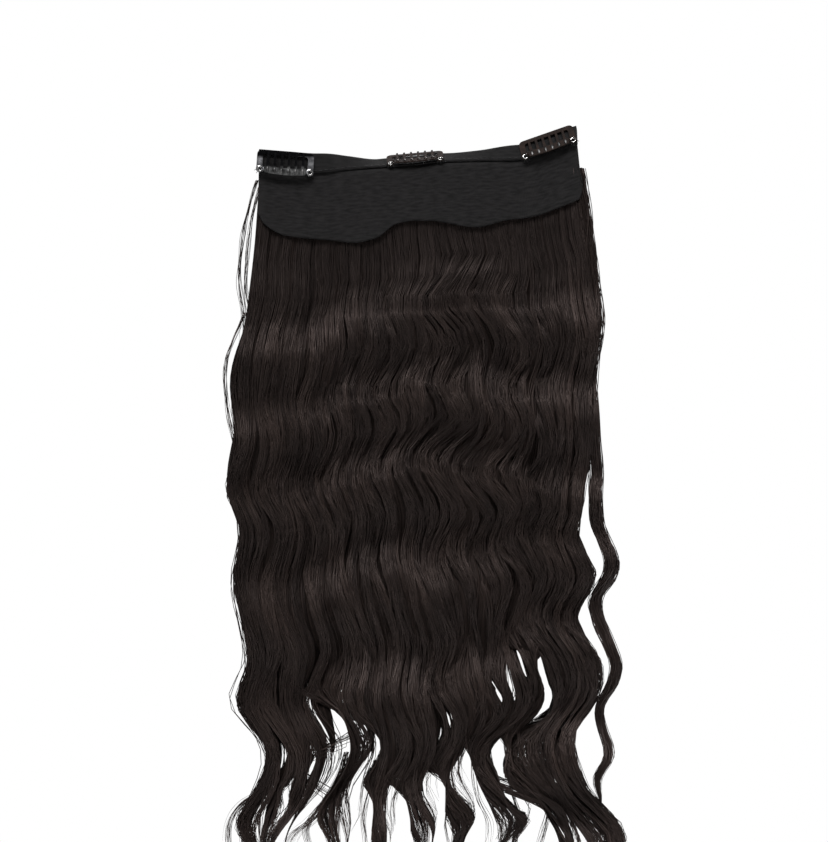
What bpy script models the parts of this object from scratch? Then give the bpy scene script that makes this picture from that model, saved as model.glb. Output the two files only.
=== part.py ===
"""Clip-in volumizing hairpiece.

A dark cloth panel with a folded hem carries three snap clips on its inner side and
two rows of long wavy hair behind it. X runs along the panel, Z is up and -Y is the
inner side, which lies on the head. The origin is the middle of the clip line, on the
panel's mid-surface.
"""

import math
from collections import namedtuple

import bmesh
import bpy
from mathutils import Matrix, Vector

# Panel and hem
PANEL_HALF_WIDTH = 0.0885
PANEL_DROP = 0.040  # clip line down to the lowest point of the bracket-shaped edge
CLOTH = 0.0012
STRIP_HEIGHT = 0.011  # clip line up to the folded top edge
HEM_CLOTH = 0.0008
HEM_GAP = 0.0006  # the folded strip stands this far off the panel's faces
PLAN_RADIUS = 0.533  # the panel curves round a head, with its ends forward
LINE_RISE = 0.013  # the right end of the clip line above its middle
STRIP_LEAN = math.radians(60)  # the strip above the clip line is folded back
BEND_RADIUS = 0.002
COLUMN_TURN = 0.6  # how much of the clip line's slope the cloth's columns follow
PANEL_COLUMNS = 32
PANEL_ROWS = 4
STRIP_ROWS = 2

# Snap clips, on their own axes: X along the clip, Z up from its eyelets
EYELET_HALF_SPACING = 0.0139
EYELET_RADIUS = 0.0021
EYELET_HOLE = 0.0008
CLIP_SHEET = 0.0006
CLIP_HEIGHT = 0.0106
ARM_WIDTH = 0.0032
ARM_OUTSET = 0.0019  # the arm's outer side beyond the eyelet's middle
BAR_WIDTH = 0.0024
CORNER_RADIUS = 0.0026
INNER_CORNER_RADIUS = 0.0012
HINGE_OUT = 0.0013  # hinge axis in front of the frame's mid-plane
EAR_INSET = 0.0014  # ear's outer face inside the eyelet's middle
EAR_WALL = 0.0005
TAB_HALF_HEIGHT = 0.00045
TAB_OVERHANG = 0.0004
SPINE_HEIGHT = 0.0038
SPINE_BOW = 0.0008
TOOTH_COUNT = 6
TOOTH_PITCH = 0.0039
TOOTH_WIDTH = 0.0016
TOOTH_HEIGHT = 0.0097
CLIP_STANDOFF = 0.0009  # hem to the back of the frame
LEFT_CLIP_INSET = 0.0143  # clip's middle inside the panel's end
RIGHT_CLIP_INSET = 0.0152
CENTRE_CLIP_X = -0.0013

# Hair
HAIR_LENGTH = 0.410  # clip line down to the longest tip
HAIR_HALF_WIDTH = 0.095
ROOT_MARGIN = 0.001  # from the folded hem down to the upper row's roots
ROOT_SPACING = 0.011  # from the upper row's roots down to the lower row's
HAIR_LEVELS = 28
LEVEL_GROWTH = 1.08
ROOT_PITCH = 0.0032  # depth taken by one row of hair at its roots
FULL_PITCH = 0.014
PITCH_RUN = 0.100
TIP_PITCH = 0.7
LAYER_GAP = 0.28  # share of a row's depth that parts it from the next row
PUFF = 0.008  # how far the hair swells forward below the panel
PUFF_RUN = 0.050
PUFF_MARGIN = 0.008
DEPTH_WAVE = 0.0045
DEPTH_RUN = 0.060
SWAY = 0.004
SWAY_START = 0.020
SWAY_RUN = 0.080
SPREAD_RUN = 0.205
LEVELLING_RUN = 0.200  # drop over which the hair's levels lose the clip line's rise
VALLEY = 0.45
BULGE_RUN = 0.030
GAP_OPENING = 0.62  # share of a lock's half width that a gap takes at the tips
GAP_RUN = 0.110
TAPER_START = 0.90  # share of a lock's length at which it starts to narrow
TIP_SIZE = 0.14
LAST_STEP = 0.005

CLEARANCE = 0.0003

HEM_OUT = CLOTH / 2 + HEM_GAP + HEM_CLOTH / 2
FOLD_MIDDLE = STRIP_HEIGHT - HEM_OUT - HEM_CLOTH / 2
UPPER_ROOT = HEM_OUT + HEM_CLOTH / 2 + ROOT_MARGIN
LOWER_ROOT = UPPER_ROOT + ROOT_SPACING

# Clip line along the half width: its rise as a share of LINE_RISE, and the strip's
# lean as a share of STRIP_LEAN
Line = namedtuple("Line", "at rise lean")
LINE_SHAPE = (
    Line(-1.00, -0.13, 0.0),
    Line(-0.82, -0.21, 0.0),
    Line(-0.65, -0.28, 0.0),
    Line(-0.43, -0.19, 0.65),
    Line(-0.24, -0.11, 1.0),
    Line(0.00, 0.00, 1.0),
    Line(0.14, 0.115, 1.0),
    Line(0.38, 0.17, 0.85),
    Line(0.62, 0.21, 0.5),
    Line(0.83, 0.60, 0.5),
    Line(1.00, 1.00, 0.5),
)

# Lower edge of the panel: its drop as a share of PANEL_DROP
Edge = namedtuple("Edge", "at drop")
PANEL_EDGE = (
    Edge(-1.00, 0.60),
    Edge(-0.95, 0.76),
    Edge(-0.82, 0.89),
    Edge(-0.62, 0.92),
    Edge(-0.40, 1.00),
    Edge(-0.28, 0.96),
    Edge(-0.15, 0.78),
    Edge(-0.05, 0.75),
    Edge(0.15, 0.82),
    Edge(0.36, 0.90),
    Edge(0.58, 0.80),
    Edge(0.80, 0.78),
    Edge(0.94, 0.76),
    Edge(1.00, 0.52),
)

# Drops of the waves' crests in five columns of the hair, from wave FIRST_CREST on
FIRST_CREST = -2
Crests = namedtuple("Crests", "x drops")
WAVE_CRESTS = (
    Crests(-0.068, (-0.010, 0.045, 0.091, 0.128, 0.183, 0.246, 0.309, 0.372, 0.436)),
    Crests(-0.029, (-0.010, 0.036, 0.078, 0.123, 0.163, 0.219, 0.289, 0.358, 0.428)),
    Crests(0.006, (-0.010, 0.036, 0.083, 0.124, 0.163, 0.214, 0.282, 0.352, 0.424)),
    Crests(0.040, (-0.010, 0.036, 0.082, 0.128, 0.170, 0.222, 0.284, 0.350, 0.420)),
    Crests(0.071, (-0.010, 0.036, 0.083, 0.127, 0.177, 0.247, 0.315, 0.378, 0.440)),
)

# Sides of the mass of hair down its length, as shares of HAIR_HALF_WIDTH
Side = namedtuple("Side", "at left right")
HAIR_SIDES = (
    Side(0.00, -0.91, 0.96),
    Side(0.04, -0.92, 1.00),
    Side(0.11, -0.94, 1.02),
    Side(0.22, -0.99, 1.08),
    Side(0.29, -1.06, 1.04),
    Side(0.355, -1.03, 0.99),
    Side(0.43, -1.07, 0.97),
    Side(0.49, -0.99, 0.92),
    Side(0.555, -1.02, 1.00),
    Side(0.61, -0.99, 0.93),
    Side(0.665, -0.95, 1.04),
    Side(0.72, -0.99, 1.05),
    Side(0.775, -0.87, 0.88),
    Side(0.84, -0.92, 0.93),
    Side(0.91, -0.98, 1.20),
    Side(1.00, -0.90, 1.14),
)

# Locks from left to right: root and tip across the mass (-1 to 1), half width as a
# share of half the mass, where the gap on the right opens and where the lock ends as
# shares of HAIR_LENGTH, sway as a share of SWAY and its phase in waves
Lock = namedtuple("Lock", "root tip width gap end sway phase")
MAIN_LOCKS = (
    Lock(-0.87, -0.90, 0.13, 0.71, 0.97, 0.0, 0.0),
    Lock(-0.60, -0.57, 0.13, 0.86, 0.95, 0.2, 0.0),
    Lock(-0.34, -0.32, 0.11, 0.84, 0.98, 0.3, -0.04),
    Lock(-0.12, -0.10, 0.11, 0.82, 0.96, 0.4, -0.10),
    Lock(0.10, 0.07, 0.10, 0.80, 0.98, 0.5, -0.06),
    Lock(0.33, 0.37, 0.11, 0.81, 0.955, 0.5, -0.12),
    Lock(0.57, 0.67, 0.12, 0.76, 0.99, 0.4, -0.10),
    Lock(0.80, 0.88, 0.12, 0.40, 1.00, 0.0, -0.16),
)
FREE_LOCK = Lock(0.955, 1.08, 0.038, 1.0, 0.85, 1.0, -0.10)

Material = namedtuple("Material", "colour roughness metallic")
CLOTH_LOOK = Material((0.012, 0.012, 0.013), 0.92, 0.0)
HEM_LOOK = Material((0.009, 0.009, 0.010), 0.90, 0.0)
LOWER_HAIR_LOOK = Material((0.020, 0.014, 0.012), 0.45, 0.0)
UPPER_HAIR_LOOK = Material((0.016, 0.011, 0.010), 0.45, 0.0)
FRAME_LOOK = Material((0.55, 0.55, 0.57), 0.30, 1.0)
COMB_LOOK = Material((0.45, 0.45, 0.47), 0.35, 1.0)


def clear_scene():
    for old in list(bpy.data.objects):
        bpy.data.objects.remove(old, do_unlink=True)


def collection(name):
    made = bpy.data.collections.new(name)
    bpy.context.scene.collection.children.link(made)
    return made


def finish_object(obj, look, home):
    """Gives an object its own material and puts it in its collection."""
    material = bpy.data.materials.new(obj.name)
    material.use_nodes = True
    shader = material.node_tree.nodes["Principled BSDF"]
    shader.inputs["Base Color"].default_value = (*look.colour, 1.0)
    shader.inputs["Roughness"].default_value = look.roughness
    shader.inputs["Metallic"].default_value = look.metallic
    obj.data.materials.clear()
    obj.data.materials.append(material)
    home.objects.link(obj)


def smooth(t):
    t = min(max(t, 0.0), 1.0)
    return t * t * (3 - 2 * t)


def mix(a, b, t):
    return a + (b - a) * t


def curve(places, values, at, rounded=False):
    """A smooth curve through values: with round turns where asked, and otherwise with
    no overshoot between them."""
    if at <= places[0]:
        return values[0]
    if at >= places[-1]:
        return values[-1]
    k = max(i for i, place in enumerate(places) if place <= at)
    widths = [b - a for a, b in zip(places, places[1:])]
    slopes = [(b - a) / width for a, b, width in zip(values, values[1:], widths)]

    def tangent(i):
        if i == 0 or i == len(slopes):
            return slopes[min(i, len(slopes) - 1)]
        before, after = slopes[i - 1], slopes[i]
        if rounded:
            return (before * widths[i - 1] + after * widths[i]) / (widths[i - 1] + widths[i])
        if before * after <= 0:
            return 0.0
        return 2 * before * after / (before + after)

    t = (at - places[k]) / widths[k]
    rise = tangent(k) * widths[k]
    run = tangent(k + 1) * widths[k]
    return (
        values[k] * (2 * t**3 - 3 * t**2 + 1)
        + rise * (t**3 - 2 * t**2 + t)
        + values[k + 1] * (3 * t**2 - 2 * t**3)
        + run * (t**3 - t**2)
    )


def read_table(rows, at, column, rounded=False):
    return curve([row.at for row in rows], [getattr(row, column) for row in rows], at, rounded)


def line_rise(s):
    return LINE_RISE * read_table(LINE_SHAPE, s / PANEL_HALF_WIDTH, "rise")


def line_lean(s):
    return STRIP_LEAN * read_table(LINE_SHAPE, s / PANEL_HALF_WIDTH, "lean")


def panel_drop(s):
    return PANEL_DROP * read_table(PANEL_EDGE, s / PANEL_HALF_WIDTH, "drop")


def line_slope(s):
    step = 0.02 * PANEL_HALF_WIDTH
    return math.atan2(line_rise(s + step) - line_rise(s - step), 2 * step)


def on_panel(s, drop, out):
    """A point at width s and a drop below the clip line, out behind the mid-surface.

    The strip above the clip line leans back, and the cloth bends from it into the
    hanging part over BEND_RADIUS just below the line.
    """
    turn = s / PLAN_RADIUS
    along = Vector((math.cos(turn), -math.sin(turn), 0.0))
    back = Vector((math.sin(turn), math.cos(turn), 0.0))
    on_line = Vector(
        (
            PLAN_RADIUS * math.sin(turn),
            PLAN_RADIUS * (math.cos(turn) - 1),
            line_rise(s),
        )
    )
    column = COLUMN_TURN * line_slope(s)
    up = math.cos(column) * Vector((0, 0, 1)) - math.sin(column) * along
    lean = line_lean(s)
    if drop <= 0:
        straight = math.cos(lean) * up + math.sin(lean) * back
        normal = math.cos(lean) * back - math.sin(lean) * up
        return on_line - drop * straight + out * normal
    angle = max(lean - drop / BEND_RADIUS, 0.0)
    below = BEND_RADIUS * (math.sin(lean) - math.sin(angle))
    below += max(drop - BEND_RADIUS * lean, 0.0)
    forward = BEND_RADIUS * (math.cos(angle) - math.cos(lean))
    normal = math.cos(angle) * back - math.sin(angle) * up
    return on_line - below * up - forward * back + out * normal


def grid_object(name, columns, thickness):
    """A closed sheet: a grid of points, thickened to both sides."""
    mesh = bpy.data.meshes.new(name)
    bm = bmesh.new()
    grid = [[bm.verts.new(point) for point in column] for column in columns]
    for left, right in zip(grid, grid[1:]):
        for k in range(len(left) - 1):
            bm.faces.new((left[k], left[k + 1], right[k + 1], right[k]))
    bm.to_mesh(mesh)
    bm.free()
    obj = bpy.data.objects.new(name, mesh)
    shell = obj.modifiers.new("Cloth", "SOLIDIFY")
    shell.thickness = thickness
    shell.offset = 0.0
    shell.use_even_offset = True
    mesh.shade_smooth()
    mesh.set_sharp_from_angle(angle=math.radians(40))
    return obj


def panel_widths():
    return [
        PANEL_HALF_WIDTH * (2 * k / PANEL_COLUMNS - 1) for k in range(PANEL_COLUMNS + 1)
    ]


def base_panel():
    bend = BEND_RADIUS * STRIP_LEAN
    columns = []
    for s in panel_widths():
        drops = [FOLD_MIDDLE * (k / STRIP_ROWS - 1) for k in range(STRIP_ROWS + 1)]
        drops += [bend / 2, bend]
        foot = panel_drop(s)
        drops += [mix(bend, foot, k / PANEL_ROWS) for k in range(1, PANEL_ROWS + 1)]
        columns.append([on_panel(s, drop, 0.0) for drop in drops])
    return grid_object("base_panel", columns, CLOTH)


def hem_band():
    """The hem: a strip of cloth folded over the panel's top edge."""
    fold = [k * math.pi / 4 for k in range(5)]
    leg = [-FOLD_MIDDLE * k / STRIP_ROWS for k in range(STRIP_ROWS)]
    columns = []
    for s in panel_widths():
        column = [on_panel(s, drop, -HEM_OUT) for drop in leg]
        for angle in fold:
            drop = -FOLD_MIDDLE - HEM_OUT * math.sin(angle)
            column.append(on_panel(s, drop, -HEM_OUT * math.cos(angle)))
        column += [on_panel(s, drop, HEM_OUT) for drop in reversed(leg)]
        columns.append(column)
    return grid_object("hem_band", columns, HEM_CLOTH)


def arc(centre, radius, start, end, steps):
    """Points round a centre, from one angle in degrees to another."""
    points = []
    for k in range(steps + 1):
        angle = math.radians(mix(start, end, k / steps))
        x = centre[0] + radius * math.cos(angle)
        points.append((x, centre[1] + radius * math.sin(angle)))
    return points


def plate(name, outlines, thickness):
    """A flat closed plate from its outline and its holes, in its own XY plane."""
    flat = bpy.data.curves.new(name, "CURVE")
    flat.dimensions = "2D"
    flat.fill_mode = "BOTH"
    flat.extrude = thickness / 2
    for outline in outlines:
        spline = flat.splines.new("POLY")
        spline.points.add(len(outline) - 1)
        for point, (x, y) in zip(spline.points, outline):
            point.co = (x, y, 0.0, 1.0)
        spline.use_cyclic_u = True
    guide = bpy.data.objects.new(name + "_outline", flat)
    bpy.context.scene.collection.objects.link(guide)
    bpy.context.view_layer.update()
    depsgraph = bpy.context.evaluated_depsgraph_get()
    mesh = bpy.data.meshes.new_from_object(guide.evaluated_get(depsgraph))
    mesh.name = name
    bpy.data.objects.remove(guide, do_unlink=True)
    bm = bmesh.new()
    bm.from_mesh(mesh)
    bmesh.ops.remove_doubles(bm, verts=bm.verts, dist=1e-6)
    bm.to_mesh(mesh)
    bm.free()
    return mesh


def frame_mesh():
    """The clip's frame: a bar, two arms and an eyelet at the foot of each arm."""
    eye = (EYELET_HALF_SPACING, 0.0)
    outer = EYELET_HALF_SPACING + ARM_OUTSET
    inner = outer - ARM_WIDTH
    outer_angle = math.degrees(math.acos(ARM_OUTSET / EYELET_RADIUS))
    inner_angle = math.degrees(math.acos((inner - eye[0]) / EYELET_RADIUS))
    top = (outer - CORNER_RADIUS, CLIP_HEIGHT - CORNER_RADIUS)
    under = CLIP_HEIGHT - BAR_WIDTH - INNER_CORNER_RADIUS
    bar = (inner - INNER_CORNER_RADIUS, under)
    half = arc(top, CORNER_RADIUS, 90, 0, 4)
    half += arc(eye, EYELET_RADIUS, outer_angle, inner_angle - 360, 14)
    half += arc(bar, INNER_CORNER_RADIUS, 0, 90, 3)
    outline = half + [(-x, z) for x, z in reversed(half)]
    hole = arc(eye, EYELET_HOLE, 0, 330, 11)
    other_hole = [(-x, z) for x, z in hole]
    mesh = plate("clip_frame", [outline, hole, other_hole], CLIP_SHEET)
    mesh.transform(Matrix.Rotation(math.radians(90), 4, "X"))
    return mesh


def ear_hole():
    return math.hypot(TAB_HALF_HEIGHT, CLIP_SHEET / 2) + CLEARANCE


def ear_mesh():
    """A bent ear of the frame, in which the comb's tab turns: X is the hinge axis."""
    radius = ear_hole() + EAR_WALL
    foot = HINGE_OUT + CLIP_SHEET / 4
    outline = arc((0, 0), radius, -90, 90, 8) + [(-foot, radius), (-foot, -radius)]
    hole = arc((0, 0), ear_hole(), 0, 330, 11)
    mesh = plate("clip_ear", [outline, hole], CLIP_SHEET)
    to_hinge = Matrix(((0, 0, 1, 0), (-1, 0, 0, 0), (0, 1, 0, 0), (0, 0, 0, 1)))
    mesh.transform(to_hinge)
    if to_hinge.determinant() < 0:
        mesh.flip_normals()
    return mesh


def ear_outer_face():
    return EYELET_HALF_SPACING - EAR_INSET


def spine_end():
    return ear_outer_face() - CLIP_SHEET - CLEARANCE


def bow(x):
    return SPINE_BOW * (1 - (x / spine_end()) ** 2)


def comb_mesh():
    """The comb: a bowed spine with six teeth and a tab at each end."""
    end = spine_end()
    tab_end = ear_outer_face() + TAB_OVERHANG
    half_spine = SPINE_HEIGHT / 2
    below = [mix(-end, end, k / 8) for k in range(9)]
    outline = [(x, -half_spine - bow(x)) for x in below]
    tab = [(end, -TAB_HALF_HEIGHT), (tab_end, -TAB_HALF_HEIGHT)]
    tab += [(x, -z) for x, z in reversed(tab)]
    outline += tab
    outline.append((end, half_spine))
    for k in reversed(range(TOOTH_COUNT)):
        x = (k - (TOOTH_COUNT - 1) / 2) * TOOTH_PITCH
        root = half_spine - bow(x)
        tip = TOOTH_WIDTH / 3
        outline.append((x + TOOTH_WIDTH / 2, root))
        outline += arc((x, TOOTH_HEIGHT - tip), tip, 0, 180, 4)
        outline.append((x - TOOTH_WIDTH / 2, root))
    outline.append((-end, half_spine))
    outline += [(-x, z) for x, z in reversed(tab)]
    mesh = plate("clip_comb", [outline], CLIP_SHEET)
    mesh.transform(Matrix.Rotation(math.radians(90), 4, "X"))
    return mesh


def clip_place(x):
    """The frame of a clip at width x: flat on the strip, with its eyelets on the line."""
    out = -HEM_OUT - HEM_CLOTH / 2 - CLIP_STANDOFF - CLIP_SHEET / 2
    s = PLAN_RADIUS * math.asin(x / PLAN_RADIUS)
    step = EYELET_HALF_SPACING
    ends = [on_panel(s + side * step, 0.0, out) for side in (-1, 1)]
    along = (ends[1] - ends[0]).normalized()
    up = on_panel(s, -STRIP_HEIGHT, out) - on_panel(s, 0.0, out)
    up = (up - up.dot(along) * along).normalized()
    back = up.cross(along)
    place = Matrix((along, back, up)).transposed().to_4x4()
    place.translation = (ends[0] + ends[1]) / 2
    return place


def snap_clip(side, x, home, cutters):
    """A frame with its two ears, and a comb whose origin is on the hinge axis."""
    place = clip_place(x)
    frame = bpy.data.objects.new("clip_frame_" + side, frame_mesh())
    frame.matrix_world = place
    for end in (-1, 1):
        ear = bpy.data.objects.new(f"ear_{side}_{end + 1}", ear_mesh())
        middle = end * (ear_outer_face() - CLIP_SHEET / 2)
        ear.matrix_world = place @ Matrix.Translation((middle, -HINGE_OUT, 0.0))
        ear.hide_render = True
        ear.display_type = "WIRE"
        cutters.objects.link(ear)
        joined = frame.modifiers.new("Ear", "BOOLEAN")
        joined.operation = "UNION"
        joined.object = ear
    finish_object(frame, FRAME_LOOK, home)
    comb = bpy.data.objects.new("clip_comb_" + side, comb_mesh())
    comb.matrix_world = place @ Matrix.Translation((0.0, -HINGE_OUT, 0.0))
    finish_object(comb, COMB_LOOK, home)


def waves_at(x, drop):
    """The number of the hair's wave at a place: a whole number at each crest."""
    x = min(max(x, WAVE_CRESTS[0].x), WAVE_CRESTS[-1].x)
    k = max(i for i, crests in enumerate(WAVE_CRESTS[:-1]) if crests.x <= x)
    sides = WAVE_CRESTS[k : k + 2]
    numbers = [
        curve(crests.drops, range(FIRST_CREST, FIRST_CREST + len(crests.drops)), drop)
        for crests in sides
    ]
    return mix(*numbers, smooth((x - sides[0].x) / (sides[1].x - sides[0].x)))


def hair_side(drop, column):
    return HAIR_HALF_WIDTH * read_table(HAIR_SIDES, drop / HAIR_LENGTH, column, True)


def half_mass(drop):
    return (hair_side(drop, "right") - hair_side(drop, "left")) / 2


def lock_middle(lock, drop):
    """The X of a lock's middle at a drop below the clip line."""
    middle = (hair_side(drop, "right") + hair_side(drop, "left")) / 2
    across = mix(lock.root, lock.tip, smooth(drop / SPREAD_RUN))
    x = middle + across * half_mass(drop)
    sway = SWAY * lock.sway * math.cos(math.tau * (waves_at(x, drop) + lock.phase))
    return x - sway * smooth((drop - SWAY_START) / SWAY_RUN)


def valley_x(left, right, drop):
    """The X of the valley between two neighbouring locks."""
    share = left.width / (left.width + right.width)
    return mix(lock_middle(left, drop), lock_middle(right, drop), share)


def pitch(drop):
    """The depth that one row of hair takes at a drop below the clip line."""
    grown = mix(ROOT_PITCH, FULL_PITCH, smooth((drop - LOWER_ROOT) / PITCH_RUN))
    late = smooth((drop / HAIR_LENGTH - TIP_PITCH) / (1 - TIP_PITCH))
    return grown * mix(1.0, TIP_PITCH, late)


def hair_front(x, drop):
    """The Y of the hair's inner surface, just behind the panel and then below it."""
    s = min(max(x, -PANEL_HALF_WIDTH), PANEL_HALF_WIDTH)
    bow_back = PLAN_RADIUS * (math.cos(x / PLAN_RADIUS) - 1)
    bend = BEND_RADIUS * (1 - math.cos(line_lean(s)))
    puff = PUFF * smooth((drop - panel_drop(s) - PUFF_MARGIN) / PUFF_RUN)
    turn = math.tau * waves_at(x, drop)
    wave = DEPTH_WAVE * math.sin(turn) * smooth((drop - PANEL_DROP) / DEPTH_RUN)
    return bow_back - bend + CLOTH / 2 + CLEARANCE - puff - wave


def hair_point(x, drop, row, depth):
    """A point of a row of hair: depth runs from -1 at its front to 1 at its back."""
    under = smooth((drop - UPPER_ROOT) / (LOWER_ROOT - UPPER_ROOT)) * row
    middle = hair_front(x, drop) + pitch(drop) * (under + 0.5)
    y = middle + depth * pitch(drop) * (1 - LAYER_GAP) / 2
    s = min(max(x, -PANEL_HALF_WIDTH), PANEL_HALF_WIDTH)
    level = line_rise(s) * (1 - smooth(drop / LEVELLING_RUN))
    return Vector((x, y, level - drop))


def hair_drops(root):
    """The levels of a row of hair: its root, then finer to coarser down to the end."""
    drops = [UPPER_ROOT, (UPPER_ROOT + LOWER_ROOT) / 2, LOWER_ROOT]
    for k in range(1, HAIR_LEVELS + 1):
        share = (k / HAIR_LEVELS) ** LEVEL_GROWTH
        drops.append(mix(LOWER_ROOT, HAIR_LENGTH, share))
    return [drop for drop in drops if drop >= root]


def weft(name, row, root, locks):
    """One row of hair: locks that share their sides down to where a gap opens."""
    drops = hair_drops(root)
    last = [
        max(k for k, drop in enumerate(drops) if drop < lock.end * HAIR_LENGTH - LAST_STEP)
        for lock in locks
    ]
    gaps = []
    for i in range(len(locks) - 1):
        wanted = locks[i].gap * HAIR_LENGTH
        nearest = min(range(len(drops)), key=lambda k: abs(drops[k] - wanted))
        gaps.append(min(nearest, last[i] - 1, last[i + 1] - 1))

    bm = bmesh.new()
    shared = {}

    def valley_pair(i, k):
        """The front and back vertex between locks i and i + 1, made once."""
        if (i, k) not in shared:
            drop = drops[k]
            x = valley_x(locks[i], locks[i + 1], drop)
            flat = mix(1.0, VALLEY, smooth((drop - root) / BULGE_RUN))
            pair = [bm.verts.new(hair_point(x, drop, row, d * flat)) for d in (-1, 1)]
            shared[i, k] = pair
        return shared[i, k]

    def opening(i, drop):
        return GAP_OPENING * smooth((drop - drops[gaps[i]]) / GAP_RUN)

    def ring(i, drop, k):
        """Front then back vertices of a lock, each from left to right."""
        lock = locks[i]
        middle = lock_middle(lock, drop)
        reach = lock.width * half_mass(drop)
        end = lock.end * HAIR_LENGTH
        free_from = max([drops[gaps[g]] for g in (i - 1, i) if 0 <= g < len(gaps)])
        narrow_from = max(free_from, TAPER_START * end)
        slim = mix(1.0, TIP_SIZE, smooth((drop - narrow_from) / (end - narrow_from)))
        sides = [middle - reach * slim, middle + reach * slim]
        if i > 0:
            gap_x = valley_x(locks[i - 1], lock, drop)
            sides[0] = middle - (middle - gap_x) * (1 - opening(i - 1, drop)) * slim
        if i < len(locks) - 1:
            gap_x = valley_x(lock, locks[i + 1], drop)
            sides[1] = middle + (gap_x - middle) * (1 - opening(i, drop)) * slim
        flat = mix(1.0, VALLEY, smooth((drop - root) / BULGE_RUN)) * slim
        if i > 0 and k is not None and k <= gaps[i - 1]:
            left = valley_pair(i - 1, k)
        else:
            left = [bm.verts.new(hair_point(sides[0], drop, row, d * flat)) for d in (-1, 1)]
        if i < len(locks) - 1 and k is not None and k <= gaps[i]:
            right = valley_pair(i, k)
        else:
            right = [bm.verts.new(hair_point(sides[1], drop, row, d * flat)) for d in (-1, 1)]
        faces = []
        for d in (-1, 1):
            inner = [mix(middle, side, 0.5) for side in sides]
            faces.append([bm.verts.new(hair_point(x, drop, row, d * slim)) for x in inner])
        front = [left[0], *faces[0], right[0]]
        back = [left[1], *faces[1], right[1]]
        return front, back

    for i, lock in enumerate(locks):
        rings = [ring(i, drops[k], k) for k in range(last[i] + 1)]
        rings.append(ring(i, lock.end * HAIR_LENGTH, None))
        for k, (upper, lower) in enumerate(zip(rings, rings[1:])):
            for a in range(3):
                bm.faces.new((upper[0][a], lower[0][a], lower[0][a + 1], upper[0][a + 1]))
                bm.faces.new((upper[1][a + 1], lower[1][a + 1], lower[1][a], upper[1][a]))
            if i == 0 or k >= gaps[i - 1]:
                bm.faces.new((upper[0][0], upper[1][0], lower[1][0], lower[0][0]))
            if i == len(locks) - 1 or k >= gaps[i]:
                bm.faces.new((upper[1][3], upper[0][3], lower[0][3], lower[1][3]))
        top, foot = rings[0], rings[-1]
        for a in range(3):
            bm.faces.new((top[0][a], top[0][a + 1], top[1][a + 1], top[1][a]))
            bm.faces.new((foot[0][a + 1], foot[0][a], foot[1][a], foot[1][a + 1]))

    mesh = bpy.data.meshes.new(name)
    bm.to_mesh(mesh)
    bm.free()
    mesh.shade_smooth()
    mesh.set_sharp_from_angle(angle=math.radians(50))
    return bpy.data.objects.new(name, mesh)


def build():
    clear_scene()
    home = collection("volumizing_hairpiece")
    cutters = collection("cutters")
    finish_object(base_panel(), CLOTH_LOOK, home)
    finish_object(hem_band(), HEM_LOOK, home)
    lower = weft("lower_weft", 0, LOWER_ROOT, (*MAIN_LOCKS, FREE_LOCK))
    finish_object(lower, LOWER_HAIR_LOOK, home)
    upper = weft("upper_weft", 1, UPPER_ROOT, MAIN_LOCKS)
    finish_object(upper, UPPER_HAIR_LOOK, home)
    places = {
        "left": LEFT_CLIP_INSET - PANEL_HALF_WIDTH,
        "centre": CENTRE_CLIP_X,
        "right": PANEL_HALF_WIDTH - RIGHT_CLIP_INSET,
    }
    for side, x in places.items():
        snap_clip(side, x, home, cutters)


build()
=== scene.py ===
"""Looks for the clip-in volumizing hairpiece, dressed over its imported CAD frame.

X runs along the panel, Z is up and -Y is the inner side, which faces the camera. The
origin is the middle of the clip line, on the panel's mid-surface. Sizes are in metres.
"""

import math
from collections import namedtuple

import bpy
import numpy as np
from mathutils import Matrix, Vector


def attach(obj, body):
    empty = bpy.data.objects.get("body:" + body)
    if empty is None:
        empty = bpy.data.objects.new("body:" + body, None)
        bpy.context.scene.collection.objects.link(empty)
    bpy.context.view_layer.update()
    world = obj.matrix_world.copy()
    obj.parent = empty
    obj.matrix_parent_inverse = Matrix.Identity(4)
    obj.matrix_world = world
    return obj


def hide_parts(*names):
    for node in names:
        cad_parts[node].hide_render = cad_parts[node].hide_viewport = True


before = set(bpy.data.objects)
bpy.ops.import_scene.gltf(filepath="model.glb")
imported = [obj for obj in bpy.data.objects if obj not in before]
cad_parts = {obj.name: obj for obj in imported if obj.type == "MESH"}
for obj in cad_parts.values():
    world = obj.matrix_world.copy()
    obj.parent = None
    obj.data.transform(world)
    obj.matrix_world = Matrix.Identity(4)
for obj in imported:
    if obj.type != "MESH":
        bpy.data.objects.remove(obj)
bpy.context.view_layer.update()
rng = np.random.default_rng(11)

# Panel and hem, as in the CAD
PANEL_HALF_WIDTH = 0.0885
PANEL_DROP = 0.040
CLOTH = 0.0012
STRIP_HEIGHT = 0.011
HEM_CLOTH = 0.0008
HEM_GAP = 0.0006
PLAN_RADIUS = 0.533
LINE_RISE = 0.013
STRIP_LEAN = math.radians(60)
BEND_RADIUS = 0.002
COLUMN_TURN = 0.6
HEM_OUT = CLOTH / 2 + HEM_GAP + HEM_CLOTH / 2
FOLD_MIDDLE = STRIP_HEIGHT - HEM_OUT - HEM_CLOTH / 2

# Clips, as in the CAD
EYELET_HALF_SPACING = 0.0139
CLIP_SHEET = 0.0006
HINGE_OUT = 0.0013
SPINE_BOW = 0.0008
SPINE_END = 0.0116
TOOTH_COUNT = 6
TOOTH_PITCH = 0.0039
CLIP_STANDOFF = 0.0009
CLIP_X = {"left": -0.0742, "centre": -0.0013, "right": 0.0733}

# Tables in tenths of a millimetre are divided by this
TENTHS = 10000

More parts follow.
